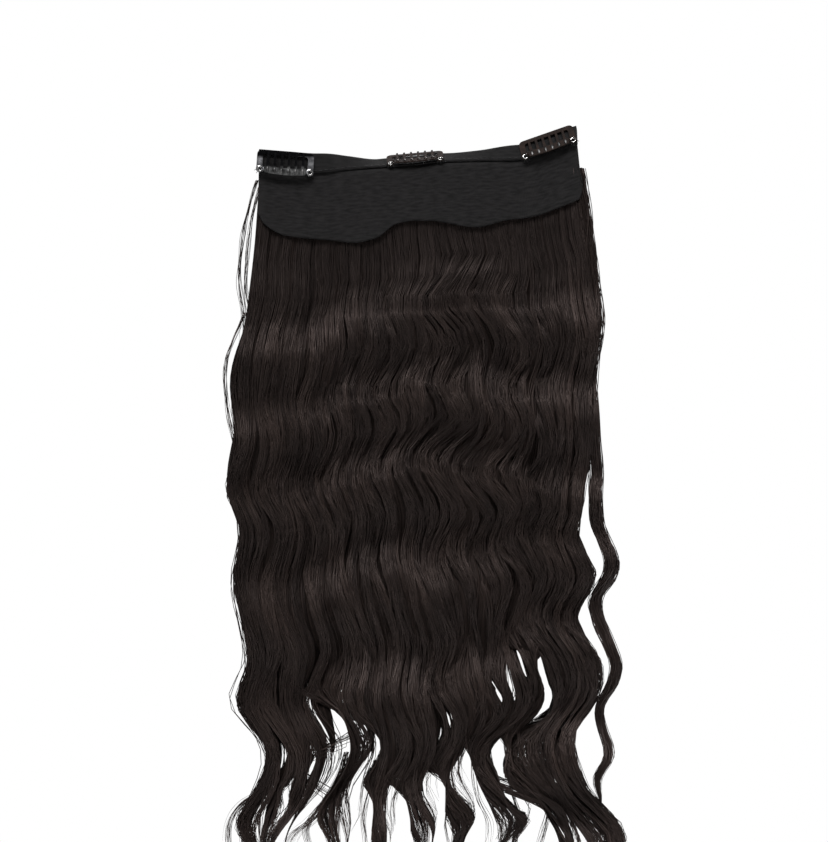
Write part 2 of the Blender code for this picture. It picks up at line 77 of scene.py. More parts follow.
# Hair, as in the CAD
HAIR_LENGTH = 0.410
HAIR_HALF_WIDTH = 0.095
UPPER_ROOT = HEM_OUT + HEM_CLOTH / 2 + 0.001
LOWER_ROOT = UPPER_ROOT + 0.011
ROOT_PITCH = 0.0032
FULL_PITCH = 0.014
PITCH_RUN = 0.100
TIP_PITCH = 0.7
PUFF_MARGIN = 0.008
SWAY = 0.004
SPREAD_RUN = 0.205
LEVELLING_RUN = 0.200
GAP_RUN = 0.110
TAPER_START = 0.90
TIP_SIZE = 0.14
CLEARANCE = 0.0003

# Hair, where its swell, gaps and waves are the scene's own and not the CAD's
PUFF = 0.0065
PUFF_RUN = 0.075
GAP_OPENING = 0.05
WAVE_SLOPE = 0.56
DEEPEST_WAVE = 0.0062
DEPTH_RUN = 0.065
BAND_LAG = 0.09

# Drops of the waves' crests in five columns of the hair, from wave FIRST_CREST on, some
# of them set off from the CAD's
FIRST_CREST = -2
Crests = namedtuple("Crests", "x drops")
WAVE_CRESTS = (
    Crests(-0.068, (-0.010, 0.045, 0.093, 0.137, 0.181, 0.234, 0.300, 0.366, 0.436)),
    Crests(-0.029, (-0.010, 0.036, 0.072, 0.123, 0.167, 0.223, 0.287, 0.356, 0.428)),
    Crests(0.006, (-0.010, 0.036, 0.076, 0.121, 0.161, 0.216, 0.281, 0.350, 0.424)),
    Crests(0.040, (-0.010, 0.036, 0.070, 0.122, 0.168, 0.212, 0.278, 0.325, 0.385)),
    Crests(0.071, (-0.010, 0.036, 0.080, 0.127, 0.177, 0.206, 0.250, 0.315, 0.378)),
)

Line = namedtuple("Line", "at rise lean")
LINE_SHAPE = (
    Line(-1.00, -0.13, 0.0),
    Line(-0.82, -0.21, 0.0),
    Line(-0.65, -0.28, 0.0),
    Line(-0.43, -0.19, 0.65),
    Line(-0.24, -0.11, 1.0),
    Line(0.00, 0.00, 1.0),
    Line(0.14, 0.115, 1.0),
    Line(0.38, 0.17, 0.85),
    Line(0.62, 0.21, 0.5),
    Line(0.83, 0.60, 0.5),
    Line(1.00, 1.00, 0.5),
)

Edge = namedtuple("Edge", "at drop")
PANEL_EDGE = (
    Edge(-1.00, 0.60),
    Edge(-0.95, 0.76),
    Edge(-0.82, 0.89),
    Edge(-0.62, 0.92),
    Edge(-0.40, 1.00),
    Edge(-0.28, 0.96),
    Edge(-0.15, 0.78),
    Edge(-0.05, 0.75),
    Edge(0.15, 0.82),
    Edge(0.36, 0.90),
    Edge(0.58, 0.80),
    Edge(0.80, 0.78),
    Edge(0.94, 0.76),
    Edge(1.00, 0.52),
)

Side = namedtuple("Side", "at left right")
HAIR_SIDES = (
    Side(0.00, -0.91, 0.96),
    Side(0.04, -0.92, 1.00),
    Side(0.11, -0.94, 1.02),
    Side(0.22, -0.99, 1.08),
    Side(0.29, -1.06, 1.04),
    Side(0.355, -1.03, 0.99),
    Side(0.43, -1.07, 0.97),
    Side(0.49, -0.99, 0.92),
    Side(0.555, -1.02, 1.00),
    Side(0.61, -0.99, 0.93),
    Side(0.665, -0.95, 1.04),
    Side(0.72, -0.99, 1.05),
    Side(0.775, -0.87, 0.88),
    Side(0.84, -0.92, 0.93),
    Side(0.91, -0.98, 1.20),
    Side(1.00, -0.90, 1.14),
)

Lock = namedtuple("Lock", "root tip width gap end sway phase")
MAIN_LOCKS = (
    Lock(-0.87, -0.90, 0.13, 0.71, 0.97, 0.0, 0.0),
    Lock(-0.60, -0.57, 0.13, 0.86, 0.95, 0.2, 0.0),
    Lock(-0.34, -0.32, 0.11, 0.84, 0.98, 0.3, -0.04),
    Lock(-0.12, -0.10, 0.11, 0.82, 0.96, 0.4, -0.10),
    Lock(0.10, 0.07, 0.10, 0.80, 0.98, 0.5, -0.06),
    Lock(0.33, 0.37, 0.11, 0.81, 0.955, 0.5, -0.12),
    Lock(0.57, 0.67, 0.12, 0.76, 0.99, 0.4, -0.10),
    Lock(0.80, 0.88, 0.12, 0.40, 1.00, 0.0, -0.16),
)

# The free lock on the right: its middle and half width down its length
Free = namedtuple("Free", "at x width")
FREE_LOCK = (
    Free(0.010, 0.0880, 0.0034),
    Free(0.045, 0.0935, 0.0038),
    Free(0.090, 0.0985, 0.0040),
    Free(0.120, 0.0955, 0.0038),
    Free(0.149, 0.0968, 0.0036),
    Free(0.170, 0.0992, 0.0038),
    Free(0.185, 0.0979, 0.0038),
    Free(0.198, 0.0990, 0.0040),
    Free(0.207, 0.1023, 0.0040),
    Free(0.216, 0.1062, 0.0040),
    Free(0.223, 0.1067, 0.0042),
    Free(0.230, 0.1040, 0.0042),
    Free(0.238, 0.0988, 0.0036),
    Free(0.245, 0.0984, 0.0037),
    Free(0.254, 0.1008, 0.0038),
    Free(0.265, 0.1054, 0.0033),
    Free(0.274, 0.1091, 0.0031),
    Free(0.280, 0.1093, 0.0033),
    Free(0.288, 0.1073, 0.0033),
    Free(0.296, 0.1025, 0.0028),
    Free(0.303, 0.1006, 0.0024),
    Free(0.312, 0.1022, 0.0025),
    Free(0.323, 0.1057, 0.0026),
    Free(0.329, 0.1046, 0.0025),
    Free(0.335, 0.1000, 0.0025),
    Free(0.341, 0.0987, 0.0021),
    Free(0.346, 0.1000, 0.0017),
    Free(0.352, 0.1012, 0.0009),
)


def smooth(t):
    t = np.clip(t, 0.0, 1.0)
    return t * t * (3 - 2 * t)


def mix(a, b, t):
    return a + (b - a) * t


def hermite(start, end, rise, run, t):
    """A cubic from start to end, with rise and run as its slopes at the two ends."""
    return (
        start * (2 * t**3 - 3 * t**2 + 1)
        + rise * (t**3 - 2 * t**2 + t)
        + end * (3 * t**2 - 2 * t**3)
        + run * (t**3 - t**2)
    )


def curve(places, values, at, rounded=False):
    """A smooth curve through values: with round turns where asked, and otherwise with
    no overshoot between them."""
    places = np.array(places, float)
    values = np.array(values, float)
    widths = np.diff(places)
    slopes = np.diff(values) / widths
    tangents = np.concatenate(([slopes[0]], np.zeros(len(values) - 2), [slopes[-1]]))
    before, after = slopes[:-1], slopes[1:]
    same = before * after > 0
    total = np.where(same, before + after, 1.0)
    tangents[1:-1] = np.where(same, 2 * before * after / total, 0.0)
    if rounded:
        tangents[1:-1] = (values[2:] - values[:-2]) / (places[2:] - places[:-2])
    at = np.clip(at, places[0], places[-1])
    k = np.clip(np.searchsorted(places, at, side="right") - 1, 0, len(places) - 2)
    t = (at - places[k]) / widths[k]
    return hermite(values[k], values[k + 1], tangents[k] * widths[k], tangents[k + 1] * widths[k], t)


def rounded_curve(places, values, at):
    """A curve through values whose turn at each is the mean of the slopes beside it."""
    widths = np.diff(places)
    slopes = np.diff(values) / widths
    tangents = np.concatenate(([slopes[0]], (slopes[:-1] + slopes[1:]) / 2, [slopes[-1]]))
    k = np.clip(np.searchsorted(places, at, side="right") - 1, 0, len(places) - 2)
    t = (at - places[k]) / widths[k]
    return hermite(values[k], values[k + 1], tangents[k] * widths[k], tangents[k + 1] * widths[k], t)


def read_table(rows, at, column, rounded=False):
    return curve([row.at for row in rows], [getattr(row, column) for row in rows], at, rounded)


def points(x, y, z):
    return np.stack(np.broadcast_arrays(x, y, z), axis=-1)


def unit(vectors):
    return vectors / np.linalg.norm(vectors, axis=-1, keepdims=True)


def line_rise(s):
    return LINE_RISE * read_table(LINE_SHAPE, s / PANEL_HALF_WIDTH, "rise")


def line_lean(s):
    return STRIP_LEAN * read_table(LINE_SHAPE, s / PANEL_HALF_WIDTH, "lean")


def panel_drop(s):
    return PANEL_DROP * read_table(PANEL_EDGE, s / PANEL_HALF_WIDTH, "drop")


def on_panel(s, drop, out):
    """A point at width s and a drop below the clip line, out behind the mid-surface."""
    s, drop, out = np.broadcast_arrays(
        np.asarray(s, float), np.asarray(drop, float), np.asarray(out, float)
    )
    turn = s / PLAN_RADIUS
    zero = np.zeros_like(turn)
    along = points(np.cos(turn), -np.sin(turn), zero)
    back = points(np.sin(turn), np.cos(turn), zero)
    on_line = points(PLAN_RADIUS * np.sin(turn), PLAN_RADIUS * (np.cos(turn) - 1), line_rise(s))
    step = 0.02 * PANEL_HALF_WIDTH
    slope = np.arctan2(line_rise(s + step) - line_rise(s - step), 2 * step)
    column = (COLUMN_TURN * slope)[..., None]
    up = np.cos(column) * np.array((0.0, 0.0, 1.0)) - np.sin(column) * along
    lean = line_lean(s)
    above = drop <= 0
    angle = np.where(above, lean, np.maximum(lean - drop / BEND_RADIUS, 0.0))
    below = BEND_RADIUS * (np.sin(lean) - np.sin(angle))
    below += np.maximum(drop - BEND_RADIUS * lean, 0.0)
    below = np.where(above, 0.0, below)
    forward = np.where(above, 0.0, BEND_RADIUS * (np.cos(angle) - np.cos(lean)))
    rise = np.where(above, -drop, 0.0)
    tilt = angle[..., None]
    straight = np.cos(tilt) * up + np.sin(tilt) * back
    normal = np.cos(tilt) * back - np.sin(tilt) * up
    place = on_line + rise[..., None] * straight - below[..., None] * up
    return place - forward[..., None] * back + out[..., None] * normal


def waves_at(x, drop):
    """The number of the hair's wave at a place: a whole number at each crest."""
    x, drop = np.broadcast_arrays(x, drop)
    columns = [crests.x for crests in WAVE_CRESTS]
    place = np.interp(x, columns, np.arange(len(columns)))
    left = np.minimum(place.astype(int), len(columns) - 2)
    numbers = np.stack(
        [
            curve(crests.drops, FIRST_CREST + np.arange(len(crests.drops)), drop)
            for crests in WAVE_CRESTS
        ]
    )
    here = np.take_along_axis(numbers, left[None], axis=0)[0]
    there = np.take_along_axis(numbers, left[None] + 1, axis=0)[0]
    return mix(here, there, smooth(place - left))


def hair_side(drop, column):
    return HAIR_HALF_WIDTH * read_table(HAIR_SIDES, drop / HAIR_LENGTH, column, True)


def half_mass(drop):
    return (hair_side(drop, "right") - hair_side(drop, "left")) / 2


def lock_middle(lock, drop):
    middle = (hair_side(drop, "right") + hair_side(drop, "left")) / 2
    across = mix(lock.root, lock.tip, smooth(drop / SPREAD_RUN))
    x = middle + across * half_mass(drop)
    sway = SWAY * lock.sway * np.cos(math.tau * (waves_at(x, drop) + lock.phase))
    return x - sway * smooth((drop - 0.02) / 0.08)


def valley_x(left, right, drop):
    share = left.width / (left.width + right.width)
    return mix(lock_middle(left, drop), lock_middle(right, drop), share)


def lock_sides(i, drop):
    """The X of a lock's two sides, which part from its neighbours' at the gaps."""
    lock = MAIN_LOCKS[i]
    end = lock.end * HAIR_LENGTH
    middle = lock_middle(lock, drop)
    reach = lock.width * half_mass(drop)
    slim = mix(1.0, TIP_SIZE, smooth((drop - TAPER_START * end) / (end - TAPER_START * end)))
    left = middle - reach * slim
    right = middle + reach * slim
    if i > 0:
        gap = MAIN_LOCKS[i - 1].gap * HAIR_LENGTH
        opening = GAP_OPENING * smooth((drop - gap) / GAP_RUN)
        side = valley_x(MAIN_LOCKS[i - 1], lock, drop)
        left = middle - (middle - side) * (1 - opening) * slim
    if i < len(MAIN_LOCKS) - 1:
        gap = lock.gap * HAIR_LENGTH
        opening = GAP_OPENING * smooth((drop - gap) / GAP_RUN)
        side = valley_x(lock, MAIN_LOCKS[i + 1], drop)
        right = middle + (side - middle) * (1 - opening) * slim
    return left, right, slim


def pitch(drop):
    grown = mix(ROOT_PITCH, FULL_PITCH, smooth((drop - LOWER_ROOT) / PITCH_RUN))
    late = smooth((drop / HAIR_LENGTH - TIP_PITCH) / (1 - TIP_PITCH))
    return grown * mix(1.0, TIP_PITCH, late)


def wave_turn(x, drop, phase=0.0):
    return math.tau * (waves_at(x, drop) + phase)


def hair_y(x, drop, row, depth, phase=0.0, swell=1.0):
    """The Y of a place in a row of hair: depth -1 is its front and 1 its back."""
    s = np.clip(x, -PANEL_HALF_WIDTH, PANEL_HALF_WIDTH)
    bow_back = PLAN_RADIUS * (np.cos(x / PLAN_RADIUS) - 1)
    bend = BEND_RADIUS * (1 - np.cos(line_lean(s)))
    puff = PUFF * smooth((drop - panel_drop(s) - PUFF_MARGIN) / PUFF_RUN)
    grown = smooth((drop - PANEL_DROP) / DEPTH_RUN)
    pace = (waves_at(x, drop + 0.006) - waves_at(x, drop - 0.006)) / 0.012
    size = np.minimum(WAVE_SLOPE / math.tau / np.maximum(pace, 1.0), DEEPEST_WAVE)
    size = size * mix(0.66, 1.0, smooth((x + 0.080) / 0.045))
    wave = -size * swell * np.sin(wave_turn(x, drop, phase - BAND_LAG)) * grown
    front = bow_back - bend + CLOTH / 2 + CLEARANCE - puff + wave
    under = smooth((drop - UPPER_ROOT) / (LOWER_ROOT - UPPER_ROOT)) * row
    return front + pitch(drop) * (under + 0.5 + depth * 0.45)


def hair_z(x, drop):
    s = np.clip(x, -PANEL_HALF_WIDTH, PANEL_HALF_WIDTH)
    return line_rise(s) * (1 - smooth(drop / LEVELLING_RUN)) - drop


def add_mesh(name, verts, polygons, uvs=None, tints=None):
    """A smooth mesh object from arrays: polygons is a list of (count, corners) arrays."""
    mesh = bpy.data.meshes.new(name)
    mesh.vertices.add(len(verts))
    mesh.vertices.foreach_set("co", np.ascontiguousarray(verts, dtype=np.float32).ravel())
    corners = np.concatenate([p.ravel() for p in polygons])
    sizes = np.concatenate([np.full(len(p), p.shape[1]) for p in polygons])
    starts = np.concatenate(([0], np.cumsum(sizes)[:-1]))
    mesh.loops.add(len(corners))
    mesh.loops.foreach_set("vertex_index", corners.astype(np.int32))
    mesh.polygons.add(len(sizes))
    mesh.polygons.foreach_set("loop_start", starts.astype(np.int32))
    if uvs is not None:
        layer = mesh.uv_layers.new(name="UVMap")
        layer.data.foreach_set("uv", uvs.astype(np.float32).ravel())
    if tints is not None:
        tint = mesh.attributes.new("tint", "FLOAT", "POINT")
        tint.data.foreach_set("value", tints.astype(np.float32).ravel())
    mesh.update(calc_edges=True)
    mesh.validate()
    mesh.shade_smooth()
    obj = bpy.data.objects.new(name, mesh)
    bpy.context.scene.collection.objects.link(obj)
    return obj


def tube_faces(paths, guide, wide, deep, sides):
    """Closed tubes along paths (tube, ring, xyz), with half widths (tube, ring): their
    points, the number of each, their faces and the run of each path."""
    count, rings = paths.shape[:2]
    tangent = unit(np.gradient(paths, axis=1))
    across = unit(np.cross(tangent, guide(tangent)))
    out = np.cross(tangent, across)
    angle = np.arange(sides) * math.tau / sides
    verts = (
        paths[:, :, None]
        + np.cos(angle)[:, None] * (wide[..., None] * across)[:, :, None]
        + np.sin(angle)[:, None] * (deep[..., None] * out)[:, :, None]
    )
    index = np.arange(count * rings * sides).reshape(count, rings, sides)
    after = np.roll(index, -1, axis=2)
    quads = np.stack((index[:, :-1], after[:, :-1], after[:, 1:], index[:, 1:]), axis=-1)
    step = np.linalg.norm(np.diff(paths, axis=1), axis=-1)
    run = np.concatenate((np.zeros((count, 1)), np.cumsum(step, axis=1)), axis=1)
    return verts.reshape(-1, 3), index, [quads.reshape(-1, 4), index[:, 0, ::-1], index[:, -1]], run


def tubes(name, paths, wide, deep, sides, tints):
    """Tubes of hair along paths, each with its own tints and place on the UV map."""
    count, rings = paths.shape[:2]
    verts, index, faces, run = tube_faces(paths, lambda tangent: (0.0, 1.0, 0.0), wide, deep, sides)
    turn = np.arange(sides + 1) / sides + 0.37 * np.arange(count)[:, None]
    u = np.stack((turn[:, :-1], turn[:, 1:], turn[:, 1:], turn[:, :-1]), axis=-1)
    u = np.broadcast_to(u[:, None], (count, rings - 1, sides, 4))
    v = np.stack((run[:, :-1], run[:, :-1], run[:, 1:], run[:, 1:]), axis=-1)
    v = np.broadcast_to(v[:, :, None], (count, rings - 1, sides, 4))
    side_uv = np.stack((u, v), axis=-1).reshape(-1, 2)
    cap_u = np.repeat(0.37 * np.arange(count), sides)
    top_uv = np.stack((cap_u, np.zeros_like(cap_u)), axis=-1)
    foot_uv = np.stack((cap_u, np.repeat(run[:, -1], sides)), axis=-1)
    uvs = np.concatenate((side_uv, top_uv, foot_uv))
    tint = np.broadcast_to(tints.reshape(count, -1, 1), index.shape)
    return add_mesh(name, verts, faces, uvs, tint)


# How strong the hair's sideways wave is across the mass, in metres
Reach = namedtuple("Reach", "at wave")
SIDE_WAVE = (
    Reach(-1.0, 0.0010),
    Reach(-0.6, 0.0014),
    Reach(-0.2, 0.0018),
    Reach(0.10, 0.0030),
    Reach(0.30, 0.0038),
    Reach(0.50, 0.0031),
    Reach(0.75, 0.0016),
    Reach(1.0, 0.0010),
)

Ripple = namedtuple("Ripple", "across down start size")
PHASE_FIELD = (
    Ripple(31.0, 9.0, 0.7, 0.030),
    Ripple(-54.0, 14.0, 2.1, 0.040),
    Ripple(88.0, 23.0, 4.4, 0.040),
    Ripple(160.0, -31.0, 5.2, 0.035),
)
SHIFT_FIELD = (
    Ripple(43.0, 21.0, 1.9, 0.0013),
    Ripple(-75.0, 33.0, 3.3, 0.0009),
    Ripple(121.0, -47.0, 0.4, 0.0007),
)

# The long S of the strands right of the middle: where it is and how far it swings
LONG_S_X = 0.026
LONG_S_REACH = 0.026
LONG_S_SWING = 0.0075
LONG_S_TOP = 0.050
LONG_S_FOOT = 0.215


TONE_FIELD = (
    Ripple(92.0, 61.0, 0.3, 0.11),
    Ripple(-147.0, 83.0, 1.2, 0.10),
    Ripple(211.0, 97.0, 2.9, 0.09),
    Ripple(310.0, -64.0, 4.0, 0.08),
)

# Slits between locks in the lower hair, in tenths of a millimetre: the slit's middles and
# half widths at its drops
Slit = namedtuple("Slit", "drops places widths")
SLITS = (
    Slit((2880, 3120, 3240, 3420, 3610, 3750, 3950), (-460, -400, -389, -473, -620, -637, -630),
         (0, 12, 20, 26, 55, 100, 110)),
    Slit((3040, 3140, 3260, 3430, 3540, 3710, 3920), (-232, -222, -208, -268, -262, -320, -325),
         (0, 7, 7, 5, 18, 62, 72)),
    Slit((3420, 3520, 3620, 3740, 3920), (-100, -88, -80, -100, -115),
         (0, 22, 40, 54, 58)),
    Slit((3340, 3460, 3600, 3740, 3920), (142, 138, 130, 108, 100),
         (0, 18, 22, 25, 30)),
    Slit((3180, 3300, 3400, 3600, 3740, 3920), (265, 280, 305, 370, 355, 350),
         (0, 16, 24, 52, 100, 112)),
    Slit((2960, 3030, 3110, 3180), (158, 164, 176, 182),
         (0, 7, 6, 0)),
    Slit((2790, 2870, 2940, 3020), (378, 415, 460, 500),
         (0, 12, 12, 0)),
    Slit((2600, 2680, 2800, 2920), (515, 548, 590, 625),
         (0, 7, 8, 0)),
    Slit((2660, 2750, 2860, 2960, 3040, 3130), (615, 650, 705, 733, 718, 685),
         (0, 8, 16, 24, 18, 0)),
    Slit((3140, 3240, 3340, 3500, 3620), (545, 505, 462, 495, 540),
         (0, 9, 16, 14, 0)),
    Slit((3460, 3560, 3660, 3750, 3920), (650, 665, 680, 665, 655),
         (0, 28, 70, 125, 140)),
    Slit((3180, 3250, 3310, 3380), (-722, -730, -745, -755),
         (0, 9, 8, 0)),
    Slit((3200, 3290, 3380, 3480), (-545, -572, -608, -640),
         (0, 13, 12, 0)),
    Slit((3410, 3480, 3550, 3640), (-775, -755, -725, -700),
         (0, 13, 13, 0)),
    Slit((2700, 2800, 2960, 3080), (-800, -790, -758, -742),
         (0, 5, 5, 0)),
    Slit((2840, 2930, 3040, 3140), (985, 945, 870, 820),
         (0, 8, 9, 0)),
)


def part_slits(x, drop, guide):
    """Moves hair off the slits, each to the side on which its guide lies."""
    for slit in SLITS:
        drops, places, widths = (np.array(column) / TENTHS for column in slit)
        middle = curve(drops, places, drop, True)
        wide = curve(drops, widths, drop)
        if wide.max() <= 0:
            continue
        side = 1.0 if np.sum((guide - middle) * wide) >= 0 else -1.0
        off = (x - middle) * side
        near = np.clip(1 - np.maximum(off, 0.0) / (3 * wide + 0.0015), 0.0, 1.0)
        across = np.minimum(off, 0.0) * smooth(wide / 0.0008)
        x = x + side * (wide * near**2 - across)
    return x


def down(start, end, rings):
    """Drops spaced evenly from start to end."""
    return mix(start, end, np.linspace(0.0, 1.0, rings))


def field(ripples, x, drop):
    """A smooth drift over the curtain of hair, from a few slow ripples."""
    total = 0.0
    for ripple in ripples:
        total = total + ripple.size * np.sin(ripple.across * x + ripple.down * drop + ripple.start)
    return total


# The extra sideways wave of the hair's lower part
LATE_WAVE = 0.0022


def side_wave(x, drop):
    """How far the hair swings sideways in each wave at a place."""
    size = read_table(SIDE_WAVE, x / half_mass(drop), "wave")
    return size + LATE_WAVE * smooth((drop - 0.27) / 0.08)


def between_slits(x, half, drop):
    """The middle and half width of a body of hair once its sides are off the slits."""
    left = part_slits(x - half, drop, x)
    right = part_slits(x + half, drop, x)
    return (left + right) / 2, (right - left) / 2


Tress = namedtuple(
    "Tress", "lock row across depth share swing turn phase wave end curl thick tone cluster"
)


def long_s(x, drop):
    """The sideways swing of the long S, at half the pace of the waves."""
    near = np.exp(-(((x - LONG_S_X) / LONG_S_REACH) ** 2))
    down = smooth((drop - LONG_S_TOP + 0.03) / 0.05) * smooth((LONG_S_FOOT - drop) / 0.07)
    return -LONG_S_SWING * near * down * np.cos(math.pi * (waves_at(x, drop) - 0.1))


# Tresses of one lock that draw together below a drop, with a slit between them
Cluster = namedtuple("Cluster", "across start squeeze sway turn curl end")


def lock_clusters(lock):
    made = []
    for across in (-0.66, 0.0, 0.66):
        made.append(
            Cluster(
                across + rng.uniform(-0.06, 0.06),
                rng.uniform(0.255, 0.315),
                rng.uniform(0.08, 0.22),
                rng.uniform(0.0008, 0.0020),
                rng.uniform(0, math.tau),
                rng.normal(0, 0.0035),
                lock.end * HAIR_LENGTH + 0.004 - abs(rng.normal(0, 0.006)),
            )
        )
    return made


CLUSTERS = [lock_clusters(lock) for lock in MAIN_LOCKS]


def gather(cluster, across, reach, drop):
    """How a place in a lock draws to its cluster, and the cluster's own sideways sway."""
    pull = cluster.squeeze * smooth((drop - cluster.start) / 0.075)
    across = mix(across, cluster.across, pull)
    late = smooth((drop - 0.25) / 0.07)
    sway = cluster.sway * np.sin(math.tau * drop / 0.055 + cluster.turn) * late
    tip = np.clip((drop - cluster.end + 0.08) / 0.08, 0.0, 1.0)
    return reach * across + sway + cluster.curl * np.sin(1.5 * math.pi * tip) * tip


def new_tress(i, row, across, depth, share):
    """One tress of a lock, with its own wave, drift, length and curl at the tip."""
    nearest = min(CLUSTERS[i], key=lambda cluster: abs(cluster.across - across))
    return Tress(
        i,
        row,
        across,
        depth,
        share * rng.uniform(0.65, 1.45),
        rng.uniform(0.08, 0.30),
        rng.uniform(0, math.tau),
        rng.normal(0, 0.050),
        rng.uniform(0.5, 1.6),
        nearest.end - abs(rng.normal(0, 0.008)),
        rng.normal(0, 0.0018),
        rng.uniform(0.05, 0.11),
        rng.normal(0, 0.15),
        nearest,
    )


def tress_table(row, side_by_side):
    """The tresses of a row: side by side over each lock's outward side."""
    made = []
    outward = -1 if row == 0 else 1
    for i in range(len(MAIN_LOCKS)):
        for k in range(side_by_side):
            across = (2 * k + 1) / side_by_side - 1 + rng.uniform(-0.08, 0.08)
            if i == 0:
                across = max(across, -0.80)
            if i == len(MAIN_LOCKS) - 1:
                across = min(across, 0.85)
            depth = outward * rng.uniform(0.42, 0.95)
            made.append(new_tress(i, row, across, depth, 1.45 / side_by_side))
    for i, across in ((0, -0.82), (len(MAIN_LOCKS) - 1, 0.88)):
        for depth in (-0.6, -0.2, 0.2, 0.6):
            made.append(new_tress(i, row, across, depth, 0.16))
    return made


def tress_line(tress, drop):
    """The middle of a tress and its half width and half depth, at an array of drops."""
    left, right, _ = lock_sides(tress.lock, drop)
    middle = (left + right) / 2
    reach = (right - left) / 2
    loose = smooth((drop - 0.05) / 0.15)
    slow = np.sin(math.tau * drop / 0.17 + tress.turn)
    across = tress.across + tress.swing * slow * loose
    x = middle + gather(tress.cluster, across, reach, drop)
    if tress.row == 0:
        x = x + long_s(x, drop)
    grown = smooth((drop - 0.02) / 0.08)
    phase = tress.phase + field(PHASE_FIELD, x, drop)
    turn = wave_turn(x, drop, phase)
    size = side_wave(x, drop) * tress.wave
    x = x + field(SHIFT_FIELD, x, drop) * loose - size * np.cos(turn) * grown
    tip = np.clip((drop - tress.end + 0.07) / 0.07, 0.0, 1.0)
    x = x + tress.curl * np.sin(1.5 * math.pi * tip) * tip
    depth = tress.depth + 0.12 * np.sin(math.tau * drop / 0.13 + 2.3 * tress.turn) * loose
    y = hair_y(x, drop, tress.row, depth, phase, 0.85 + 0.15 * tress.wave)
    z = hair_z(x, drop)
    taper = mix(1.0, 0.12, smooth((drop - tress.end + 0.06) / 0.06))
    wide = reach * tress.share * taper
    deep = pitch(drop) * tress.thick * taper
    return points(x, y, z), wide, deep


def painted_panel_shadow(x, drop):
    """How much the hair's tone is darkened below the panel's edge, as painted shadow of the panel
    that fades out further down.
    """
    # Painted shadow of the panel: the tone is cut to 0.15 just below its edge and grows back over 65
    # mm.
    s = np.clip(x, -PANEL_HALF_WIDTH, PANEL_HALF_WIDTH)
    return mix(0.15, 1.0, smooth((drop - panel_drop(s) - 0.002) / 0.065))


def strand_paths(table, count, start, rings):
    """Strands bundled in the tresses, and a tone for each, with painted shade and painted highlight
    bands along its length.
    """
    weights = np.array([tress.share for tress in table])
    chosen = rng.choice(len(table), count, p=weights / weights.sum())
    paths = np.empty((count, rings, 3))
    radii = np.empty((count, rings))
    tones = np.empty((count, rings))
    for n, which in enumerate(chosen):
        tress = table[which]
        end = tress.end - rng.exponential(0.010)
        straight = np.linspace(start, 0.050, 4)[:-1]
        drop = np.concatenate((straight, mix(0.050, end, np.linspace(0, 1, rings - 3) ** 0.93)))
        path, wide, deep = tress_line(tress, drop)
        turn = rng.uniform(0, math.tau) + 1.4 * np.sin(
            math.tau * drop / rng.uniform(0.15, 0.4) + rng.uniform(0, math.tau)
        )
        out = math.sqrt(rng.uniform(0.02, 1.0)) * 1.15
        stray = abs(rng.normal()) ** 3 * 0.06 * smooth((drop - 0.06) / 0.2)
        fray = 0.0008 * rng.normal() * smooth((drop - end + 0.07) / 0.07)
        ripple = 0.00030 * np.sin(math.tau * drop / rng.uniform(0.025, 0.06) + rng.uniform(0, 6))
        path[:, 0] += (out + stray) * wide * np.sin(turn) + fray
        path[:, 0] += ripple * smooth(drop / 0.1)
        path[:, 1] += out * deep * np.cos(turn)
        thick = rng.uniform(0.00018, 0.00028)
        radii[n] = thick * mix(1.0, 0.25, smooth((drop - end + 0.035) / 0.035))
        tone = np.clip(rng.normal(0.5, 0.15) + tress.tone, 0.0, 1.0)
        path[:, 0] = part_slits(path[:, 0], drop, path[:, 0])
        paths[n] = path
        lower = smooth((drop - 0.05) / 0.04)
        # Painted highlight and painted shade: the tone is raised on each wave's crest and lowered in
        # its troughs, on top of the painted panel shadow.
        crest = 0.5 + 0.5 * np.cos(wave_turn(path[:, 0], drop, -BAND_LAG))
        shade = painted_panel_shadow(path[:, 0], drop) * mix(1.0, 0.55 + 0.72 * crest, lower)
        drift = field(TONE_FIELD, path[:, 0], drop) * lower
        tones[n] = np.clip(tone * shade + drift, 0.0, 1.0)
    return paths, radii, tones


def ride_hair(obj, look, node):
    """Gives a piece of hair its look, and puts it in place of a row's solid."""
    obj.data.materials.append(look)
    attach(obj, "panel")
    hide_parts(node)


def add_strands(name, table, count, start, pieces, node, look):
    rings = 42
    paths, radii, tones = strand_paths(table, count, start, rings)
    order = np.argsort(paths[:, 0, 0])
    for k, part in enumerate(np.array_split(order, pieces)):
        obj = tubes(f"{name}_{k + 1}", paths[part], radii[part], radii[part], 3, tones[part])
        ride_hair(obj, look, node)


CORE_END = 0.325
CLUSTER_TOP = 0.215


def add_core(name, row, start):
    """The inside of each lock, in a darker hair colour as painted shade, which closes the curtain
    behind its strands.
    """
    rings = 70
    paths = []
    wide = []
    deep = []
    for i in range(len(MAIN_LOCKS)):
        end = CORE_END
        drop = down(start, end, rings)
        left, right, _ = lock_sides(i, drop)
        x = (left + right) / 2
        if row == 0:
            x = x + long_s(x, drop)
        taper = mix(1.0, 0.10, smooth((drop - end + 0.07) / 0.07))
        phase = field(PHASE_FIELD, x, drop)
        depth = -0.10 * (2 * row - 1)
        half = (right - left) / 2 * mix(1.12, 0.9, smooth((drop - 0.23) / 0.05)) * taper
        x, half = between_slits(x, half, drop)
        paths.append(points(x, hair_y(x, drop, row, depth, phase), hair_z(x, drop)))
        wide.append(half)
        deep.append(pitch(drop) * 0.24 * taper)
    return tubes(name, np.stack(paths), np.stack(wide), np.stack(deep), 16, np.full(8, 0.35))


